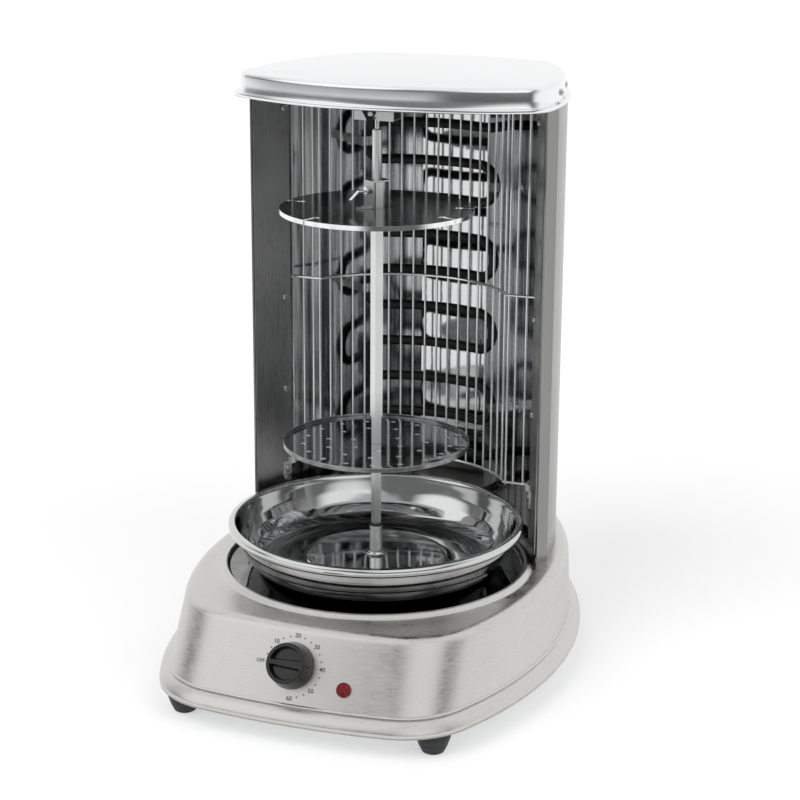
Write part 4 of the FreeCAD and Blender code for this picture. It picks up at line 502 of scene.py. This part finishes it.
def dimFloor(tree):
    # 1 where mirror rays meet the floor on the photographer's side, away from the object, and 0 elsewhere
    path = addNode(tree, "ShaderNodeLightPath")
    place = addNode(tree, "ShaderNodeTexCoord")
    reach = addNode(tree, "ShaderNodeVectorMath", {"operation": "LENGTH"}, {0: (place, "Object")})
    away = addNode(tree, "ShaderNodeMapRange",
                   {"interpolation_type": "SMOOTHSTEP", "From Min": dimSide["startsMm"][0] * mm,
                    "From Max": dimSide["startsMm"][1] * mm}, {"Value": (reach, "Value")})
    heading = addNode(tree, "ShaderNodeVectorMath", {"operation": "NORMALIZE"}, {0: (place, "Object")})
    towards = addNode(tree, "ShaderNodeVectorMath",
                      {"operation": "DOT_PRODUCT", 1: direction(dimSide["azimuth"], 0)}, {0: (heading, 0)})
    aside = addNode(tree, "ShaderNodeMapRange",
                    {"interpolation_type": "SMOOTHSTEP", "From Min": math.cos(math.radians(dimSide["outer"])),
                     "From Max": math.cos(math.radians(dimSide["inner"])), "To Max": 1 - dimSide["left"]},
                    {"Value": (towards, "Value")})
    both = addNode(tree, "ShaderNodeMath", {"operation": "MULTIPLY"}, {0: (away, 0), 1: (aside, 0)})
    ahead = addNode(tree, "ShaderNodeSeparateXYZ", links={0: (heading, 0)})
    front = addNode(tree, "ShaderNodeMapRange",
                    {"From Min": dimSide["frontEdges"][0], "From Max": dimSide["frontEdges"][1],
                     "To Max": 1 - dimSide["farLeft"]}, {"Value": (ahead, "Y")})
    far = addNode(tree, "ShaderNodeMapRange", {"From Min": dimSide["farMm"][0] * mm,
                  "From Max": dimSide["farMm"][1] * mm}, {"Value": (reach, "Value")})
    distant = addNode(tree, "ShaderNodeMath", {"operation": "MULTIPLY"}, {0: (front, 0), 1: (far, 0)})
    dim = addNode(tree, "ShaderNodeMath", {"operation": "MAXIMUM"}, {0: (both, 0), 1: (distant, 0)})
    return addNode(tree, "ShaderNodeMath", {"operation": "MULTIPLY"}, {0: (dim, 0), 1: (path, "Is Glossy Ray")})


def makeStage():
    # plain pale floor that shows white outside the object's own shadow
    size = stageLook["floorSize"]
    mesh = bpy.data.meshes.new("floor")
    mesh.from_pydata([(-size, -size, 0), (size, -size, 0), (size, size, 0), (-size, size, 0)], [], [(0, 1, 2, 3)])
    floor = bpy.data.objects.new("floor", mesh)
    scene.collection.objects.link(floor)
    material, tree = newMaterial("paleFloor")
    shown = shownRays(tree)
    matt = addNode(tree, "ShaderNodeBsdfDiffuse", {"Color": toLinear(stageLook["floorColour"])})
    strength = addNode(tree, "ShaderNodeMath", {"operation": "MULTIPLY", 1: stageLook["floorGlow"]}, {0: (shown, 0)})
    glow = addNode(tree, "ShaderNodeEmission", {"Color": (1, 1, 1, 1)}, {"Strength": (strength, 0)})
    white = addNode(tree, "ShaderNodeAddShader", links={0: (matt, 0), 1: (glow, 0)})
    dark = addNode(tree, "ShaderNodeBsdfDiffuse", {"Color": (0, 0, 0, 1)})
    ground = addNode(tree, "ShaderNodeMixShader", links={0: (dimFloor(tree), 0), 1: (white, 0), 2: (dark, 0)})
    addNode(tree, "ShaderNodeOutputMaterial", links={"Surface": (ground, 0)})
    mesh.materials.append(material)


def makeWorld():
    # Metal mirrors a white backdrop behind the object and a dim room in front of it. Matt surfaces get an even
    # level of light from all round, and the camera sees white.
    world = bpy.data.worlds.new("studio")
    world.use_nodes = True
    scene.world = world
    tree = world.node_tree
    tree.nodes.clear()
    shown = shownRays(tree)
    path = addNode(tree, "ShaderNodeLightPath")
    place = addNode(tree, "ShaderNodeTexCoord")
    split = addNode(tree, "ShaderNodeSeparateXYZ", links={"Vector": (place, "Generated")})
    behind, above = stageLook["backdropEdges"], stageLook["overheadEdges"]
    backdrop = addNode(tree, "ShaderNodeMapRange", {"From Min": behind[0], "From Max": behind[1],
                       "To Min": stageLook["roomLevel"], "To Max": 1.0}, {"Value": (split, "Y")})
    overhead = addNode(tree, "ShaderNodeMapRange", {"From Min": above[0], "From Max": above[1],
                       "To Min": 0.0, "To Max": stageLook["overhead"]}, {"Value": (split, "Z")})
    mirrored = addNode(tree, "ShaderNodeMath", {"operation": "MAXIMUM"}, {0: (backdrop, 0), 1: (overhead, 0)})
    for glow in glows:
        towards = addNode(tree, "ShaderNodeVectorMath",
                          {"operation": "DOT_PRODUCT", 1: direction(glow["azimuth"], glow["elevation"])},
                          {0: (place, "Generated")})
        fade = addNode(tree, "ShaderNodeMapRange",
                       {"interpolation_type": "SMOOTHSTEP", "From Min": math.cos(math.radians(glow["outer"])),
                        "From Max": math.cos(math.radians(glow["inner"])), "To Min": 0.0, "To Max": glow["level"]},
                       {"Value": (towards, "Value")})
        mirrored = addNode(tree, "ShaderNodeMath", {"operation": "MAXIMUM"}, {0: (mirrored, 0), 1: (fade, 0)})
    seen = addNode(tree, "ShaderNodeMath", {"operation": "MAXIMUM"}, {0: (mirrored, 0), 1: (path, "Is Camera Ray")})
    level = addNode(tree, "ShaderNodeMix", {"data_type": "FLOAT", "A": stageLook["skyLight"]},
                    {"Factor": (shown, 0), "B": (seen, 0)})
    sky = addNode(tree, "ShaderNodeBackground", {"Color": (1, 1, 1, 1)}, {"Strength": (level, 0)})
    addNode(tree, "ShaderNodeOutputWorld", links={"Surface": (sky, 0)})


# soft suns, so the floor is lit evenly: direction, and the level that each gives a surface turned to it
suns = {"keySun": {"azimuth": -115, "elevation": 46, "level": 0.42, "soft": 40},
        "sideSun": {"azimuth": -30, "elevation": 42, "level": 0.22, "soft": 40}}


def addSuns():
    # suns that light matt surfaces and aren't mirrored in metal
    for name, sun in suns.items():
        data = bpy.data.lights.new(name, "SUN")
        data.energy = sun["level"] * math.pi
        data.angle = math.radians(sun["soft"])
        holder = bpy.data.objects.new(name, data)
        holder.visible_glossy = False
        holder.rotation_euler = direction(sun["azimuth"], sun["elevation"]).to_track_quat("Z", "Y").to_euler()
        scene.collection.objects.link(holder)


makeCamera()
makeStage()
makeWorld()
addSuns()
print("stage made")


# outlines of the flange and of the flat top, and the cover between them: flange as (inset, z), collar as (r, z)
baseShape = {"halfWidth": 168.0, "front": 202.0, "rear": 242.0, "side": 370.0, "frontRadius": 600.0,
             "rearRadius": 600.0, "frontCorner": 70.0, "rearCorner": 70.0, "y": -20.0}
topShape = {"halfWidth": 153.0, "front": 177.0, "rear": 204.0, "side": 330.0, "frontRadius": 600.0,
            "rearRadius": 600.0, "frontCorner": 65.0, "rearCorner": 65.0, "y": -6.0}
baseCover = {"topZ": 89.0, "edgeRadius": 10.0, "panelRows": 8, "edgeRows": 9, "sheetMm": 0.8, "flatRows": 4,
             "smoothDegrees": 40,
             "flange": [(0.0, 20.5), (0.0, 24.3), (0.35, 25.1), (1.6, 27.0), (4.0, 29.8), (6.8, 31.9), (8.6, 32.8),
                        (9.05, 33.0), (8.6, 33.35), (8.0, 33.75), (7.8, 34.2), (8.1, 34.7), (8.8, 35.1), (9.6, 35.4)],
             "collar": [(135.0, 89.0), (134.3, 89.15), (133.4, 89.6), (131.4, 91.35), (130.4, 92.15), (129.6, 92.55),
                        (128.4, 92.7), (127.5, 92.45), (126.8, 91.6), (125.9, 89.7), (125.3, 88.9), (124.5, 88.6),
                        (90.0, 88.6), (40.0, 88.6), (9.0, 88.6)]}


def makeBaseCover():
    # Rows from the lip up: parallel insets of the flange outline, straight rulings up to the top outline, a
    # circular arc round the edge, rings that blend the flat into a circle, then the collar's revolved profile.
    rows = [atHeight(outline(baseShape, inset), z) for inset, z in baseCover["flange"]]
    foot = rows[-1]
    topZ = baseCover["topZ"]
    corner = atHeight(outline(topShape), topZ)
    inward = atHeight(outline(topShape, 1.0), topZ) - corner
    inward /= np.linalg.norm(inward, axis=1)[:, None]
    rise = corner - foot
    length = np.linalg.norm(rise, axis=1)[:, None]
    rise = rise / length
    turnAngle = np.arccos(np.clip((rise * inward).sum(1), -1, 1))[:, None]
    tangent = baseCover["edgeRadius"] * np.tan(turnAngle / 2)
    start, finish = corner - rise * tangent, corner + inward * tangent
    for t in np.linspace(0, 1, baseCover["panelRows"] + 1)[1:]:
        rows.append(foot + (start - foot) * t)
    weight = np.cos(turnAngle / 2)
    for t in np.linspace(0, 1, baseCover["edgeRows"] + 1)[1:]:
        a, b, c = (1 - t) ** 2, 2 * t * (1 - t) * weight, t * t
        rows.append((a * start + b * corner + c * finish) / (a + b + c))
    angle = np.arctan2(finish[:, 1] - spindleY, finish[:, 0])
    circle = np.column_stack([np.cos(angle), np.sin(angle)])
    outerR, outerZ = baseCover["collar"][0]
    rim = np.column_stack([circle * outerR + [0, spindleY], np.full(len(circle), outerZ)])
    for t in np.linspace(0, 1, baseCover["flatRows"] + 1)[1:]:
        rows.append(finish + (rim - finish) * t)
    for r, z in baseCover["collar"][1:]:
        rows.append(np.column_stack([circle * r + [0, spindleY], np.full(len(circle), z)]))
    piece = addGrid("baseCover", np.array(rows), satinSteel, "housing", baseCover["smoothDegrees"])
    solidify(piece, baseCover["sheetMm"])
    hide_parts("base_shell")


# outline of the lid's lip, and its cover: lip as (inset, z), crown as shares of the outline left by the edge
lidShape = {"halfWidth": 138.7, "front": 72.3, "rear": 162.7, "side": 260.0, "frontRadius": 248.4,
            "rearRadius": 338.0, "frontCorner": 30.1, "rearCorner": 38.3, "y": 21.0}
lidCover = {"sheetMm": 0.8, "skirtTop": 495.5, "edgeRadius": 4.0, "edgeRows": 8, "crownZ": 503.4,
            "lip": [(0.0, 479.6), (0.0, 482.0), (0.25, 482.55), (0.9, 482.8), (3.9, 482.8), (4.7, 483.05),
                    (5.0, 483.8)],
            "crownShares": (0.985, 0.95, 0.9, 0.8, 0.65, 0.5, 0.35, 0.2, 0.08), "smoothDegrees": 40}


def makeLidCover():
    # parallel insets for lip, flange and rounded edge, then the outline shrunk towards its middle on a parabola
    rows = [atHeight(outline(lidShape, inset), z) for inset, z in lidCover["lip"]]
    (inset, skirtFoot), r = lidCover["lip"][-1], lidCover["edgeRadius"]
    rows.append(atHeight(outline(lidShape, inset), (lidCover["skirtTop"] + skirtFoot) / 2))
    for t in np.linspace(0, 0.5 * np.pi, lidCover["edgeRows"]):
        rows.append(atHeight(outline(lidShape, inset + r * (1 - math.cos(t))),
                             lidCover["skirtTop"] + r * math.sin(t)))
    edgeLine = outline(lidShape, inset + r)
    middle = np.array([0.0, lidShape["y"]])
    edgeZ = lidCover["skirtTop"] + r
    for share in lidCover["crownShares"]:
        rows.append(atHeight(middle + (edgeLine - middle) * share,
                             edgeZ + (lidCover["crownZ"] - edgeZ) * (1 - share ** 2)))
    piece = addGrid("lidCover", np.array(rows), lidSteel, "housing", lidCover["smoothDegrees"], closeEnd=True)
    solidify(piece, lidCover["sheetMm"])
    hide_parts("lid")


# bowl as (r, height over the inner floor) from the collar round the hub outwards, rolled rim as (r, height over the
# rim's top)
pan = {"innerFloorZ": 89.7, "sheetMm": 0.8, "rimZ": 129.1, "bendMm": 2.2, "bendSteps": 3, "steps": 160,
       "smoothDegrees": 50,
       "bowl": [(7.2, 10.6), (7.8, 8.4), (9.0, 7.6), (58.0, 7.6), (61.0, 6.8), (65.0, 1.2), (69.0, 0.0), (93.0, 0.0),
                (100.5, 1.4), (107.0, 6.5), (112.0, 14.0), (116.0, 24.0), (118.2, 33.0), (118.9, 37.0)],
       "rim": [(119.9, -0.2), (121.6, 0.0), (124.2, -0.2), (125.5, -1.2), (126.0, -3.0), (125.7, -5.2), (124.6, -7.2),
               (123.0, -8.3), (121.4, -8.6)]}


def makeDripPan():
    # turned profile of the inner face with its bends rounded, then given its wall
    profile = np.vstack([np.array(pan["bowl"]) + [0, pan["innerFloorZ"]], np.array(pan["rim"]) + [0, pan["rimZ"]]])
    line = rounded(profile, pan["bendMm"], pan["bendSteps"])
    piece = addGrid("dripPan", revolve(line, pan["steps"])[::-1], mirrorSteel, "pan", pan["smoothDegrees"])
    solidify(piece, pan["sheetMm"])
    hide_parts("drip_pan")


# front panel: how far it reaches forwards and the radius of its arc, at its foot and at its top
panel = {"lowReach": 212.4, "topReach": 183.0, "lowZ": 35.4, "topZ": 89.0, "lowRadius": 590.4, "topRadius": 600.0}
panelSlope = math.atan((panel["lowReach"] - panel["topReach"]) / (panel["topZ"] - panel["lowZ"]))


def panelArc(z):
    # reach and radius of the panel's arc at height z, straight rulings between foot and top
    share = (z - panel["lowZ"]) / (panel["topZ"] - panel["lowZ"])
    reach = panel["lowReach"] + (panel["topReach"] - panel["lowReach"]) * share
    return reach, panel["lowRadius"] + (panel["topRadius"] - panel["lowRadius"]) * share


def panelFrame(x, z):
    # point and axes (right, up the slope, outwards) of the front panel at x and height z, in mm
    reach, radius = panelArc(z)
    level = np.array([x / radius, -math.sqrt(1 - (x / radius) ** 2), 0.0])
    origin = level * radius + [0.0, radius - reach, z]
    out = level * math.cos(panelSlope) + [0.0, 0.0, math.sin(panelSlope)]
    up = np.array([0.0, 0.0, 1.0]) - out * out[2]
    up /= np.linalg.norm(up)
    return origin, np.cross(up, out), up, out


# radii end in R and heights off the panel in N; under and shaft are the hollow on the back
knob = {"x": -5.4, "z": 61.5, "lowR": 18.75, "faceR": 16.3, "lowN": 0.6, "faceN": 15.6, "edgeMm": 1.3,
        "barHalf": 2.3, "barTaper": 0.05, "scoopR": 13.3, "scoopDepth": 5.0, "wallMm": 1.2, "rimN": 1.0,
        "underR": 17.4, "recessR": 9.0, "recessN": 4.8, "shaftR": 3.2, "middleR": 0.2, "steps": 192, "rings": 56,
        "edgeSteps": 6, "smoothDegrees": 40}


def makeKnob():
    # Polar grid. The face has two scoops, deepest away from the bar between them and from the rim; the side
    # is a cone with a rounded edge.
    steps = knob["steps"]
    angle = np.linspace(0, 2 * np.pi, steps, endpoint=False)
    inner = knob["faceR"] - knob["edgeMm"]
    r = np.linspace(knob["middleR"], inner, knob["rings"])[:, None]
    x, y = r * np.cos(angle), r * np.sin(angle)

    def ease(value):
        t = np.clip(value, 0, 1)
        return t * t * (3 - 2 * t)

    barHalf = knob["barHalf"] + knob["barTaper"] * x
    fromBar = ease((np.abs(y) - barHalf) / knob["wallMm"])
    fromRim = ease((knob["scoopR"] - r) / knob["wallMm"] + 0 * angle)
    height = knob["faceN"] - knob["scoopDepth"] * fromBar * fromRim
    t = np.linspace(0, 0.5 * np.pi, knob["edgeSteps"])[1:]
    edge = np.column_stack([inner + knob["edgeMm"] * np.sin(t), knob["faceN"] - knob["edgeMm"] * (1 - np.cos(t))])
    back = [(knob["lowR"], knob["lowN"] + knob["rimN"]), (knob["lowR"], knob["lowN"]), (knob["underR"], knob["lowN"]),
            (knob["recessR"], knob["lowN"]), (knob["recessR"], knob["recessN"]), (knob["shaftR"], knob["recessN"])]
    turned = np.vstack([edge, back])
    side = np.stack([turned[:, :1] * np.cos(angle), turned[:, :1] * np.sin(angle),
                     np.broadcast_to(turned[:, 1:], (len(turned), steps))], axis=-1)
    local = np.vstack([np.stack([x, y, height], axis=-1), side])
    origin, right, up, out = panelFrame(knob["x"], knob["z"])
    points = origin + local[..., :1] * right + local[..., 1:2] * up + local[..., 2:] * out
    piece = addGrid("timerKnob", points[::-1], knobPlastic, "timer_dial", knob["smoothDegrees"],
                    closeEnd=True)
    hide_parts("timer_knob")


# print round the knob: OFF is a little smaller and further out than the numbers, and it stands on the panel
dial = {"centreX": -4.6, "centreZ": 60.7, "numberR": 24.9, "dotR": 24.2, "offFurther": 3.1, "numberMm": 3.5,
        "offShare": 0.85, "sizePerHeight": 1.42, "dotMm": 0.6, "dotSides": 12, "liftMm": 0.06, "inkMm": 0.04,
        "strokeMm": 0.06, "startDegrees": 178.0, "stepDegrees": 44.0, "numbers": 6, "minutes": 10, "curveSteps": 3,
        "smoothDegrees": 35}


def placeOnPanel(corners, centreU, centreV):
    # flat drawing in mm, laid on the curved panel about the dial's centre; u runs right, v up the slope
    u, v = corners[:, 0] + centreU, corners[:, 1] + centreV
    across, rise = math.cos(panelSlope), math.sin(panelSlope)
    x, z = dial["centreX"] + u, dial["centreZ"] + v * across
    reach, radius = panelArc(z)
    y = -np.sqrt(radius ** 2 - x ** 2) + radius - reach
    lift = dial["liftMm"] + corners[:, 2]
    return np.column_stack([x + lift * x / radius * across, y - lift * across, z + lift * rise])


def textMesh(words, heightMm):
    # flat lettering as corners and faces, centred, in mm
    curve = bpy.data.curves.new("dialText", "FONT")
    curve.body = words
    curve.size = heightMm * dial["sizePerHeight"]
    curve.align_x, curve.align_y = "CENTER", "CENTER"
    curve.extrude = dial["inkMm"]
    curve.offset = dial["strokeMm"]
    curve.resolution_u = dial["curveSteps"]
    holder = bpy.data.objects.new("dialText", curve)
    scene.collection.objects.link(holder)
    bpy.context.view_layer.update()
    mesh = bpy.data.meshes.new_from_object(holder)
    corners = np.empty(3 * len(mesh.vertices), np.float32)
    mesh.vertices.foreach_get("co", corners)
    faces = [list(p.vertices) for p in mesh.polygons]
    bpy.data.objects.remove(holder)
    bpy.data.meshes.remove(mesh)
    return corners.reshape(-1, 3).astype(float), faces


def dotMesh():
    # one minute dot: two rings with faces between them and over both ends
    count, r, ink = dial["dotSides"], dial["dotMm"], dial["inkMm"]
    ring = np.linspace(0, 2 * np.pi, count, endpoint=False)
    low = np.column_stack([r * np.cos(ring), r * np.sin(ring), np.full(count, -ink)])
    sides = [[i, (i + 1) % count, count + (i + 1) % count, count + i] for i in range(count)]
    ends = [list(range(count, 2 * count)), list(range(count - 1, -1, -1))]
    return np.vstack([low, low + [0, 0, 2 * ink]]), sides + ends


def makeDial():
    # OFF and the numbers at even angles round the knob, with two dots in each gap
    corners, faces, offset = [], [], 0

    def put(part, radius, degrees):
        nonlocal offset
        angle = math.radians(degrees)
        corners.append(placeOnPanel(part[0], radius * math.cos(angle), radius * math.sin(angle)))
        faces.extend([[i + offset for i in f] for f in part[1]])
        offset += len(part[0])

    put(textMesh("OFF", dial["numberMm"] * dial["offShare"]), dial["numberR"] + dial["offFurther"],
        dial["startDegrees"])
    for number in range(1, dial["numbers"] + 1):
        degrees = dial["startDegrees"] - dial["stepDegrees"] * number
        for share in (2 / 3, 1 / 3):
            put(dotMesh(), dial["dotR"], degrees + dial["stepDegrees"] * share)
        put(textMesh(str(dial["minutes"] * number), dial["numberMm"]), dial["numberR"], degrees)
    addMesh("dialPrint", np.vstack(corners), faces, printInk, "housing", dial["smoothDegrees"])


makeBaseCover()
makeLidCover()
makeDripPan()
makeKnob()
makeDial()
print("covers, pan and knob made")

brokenEdges = {"upper_disc": 0.4, "lower_disc": 0.4, "drive_hub": 0.4, "spindle": 0.35, "clamp_bracket": 0.3,
               "top_bracket": 0.25, "keeper": 0.25, "side_liner_left": 0.15, "side_liner_right": 0.15,
               "housing_wall": 0.15}  # width of each bevel in mm
for nodeName, bevelMm in brokenEdges.items():
    crisp(nodeName, bevelMm)
print("edges broken")
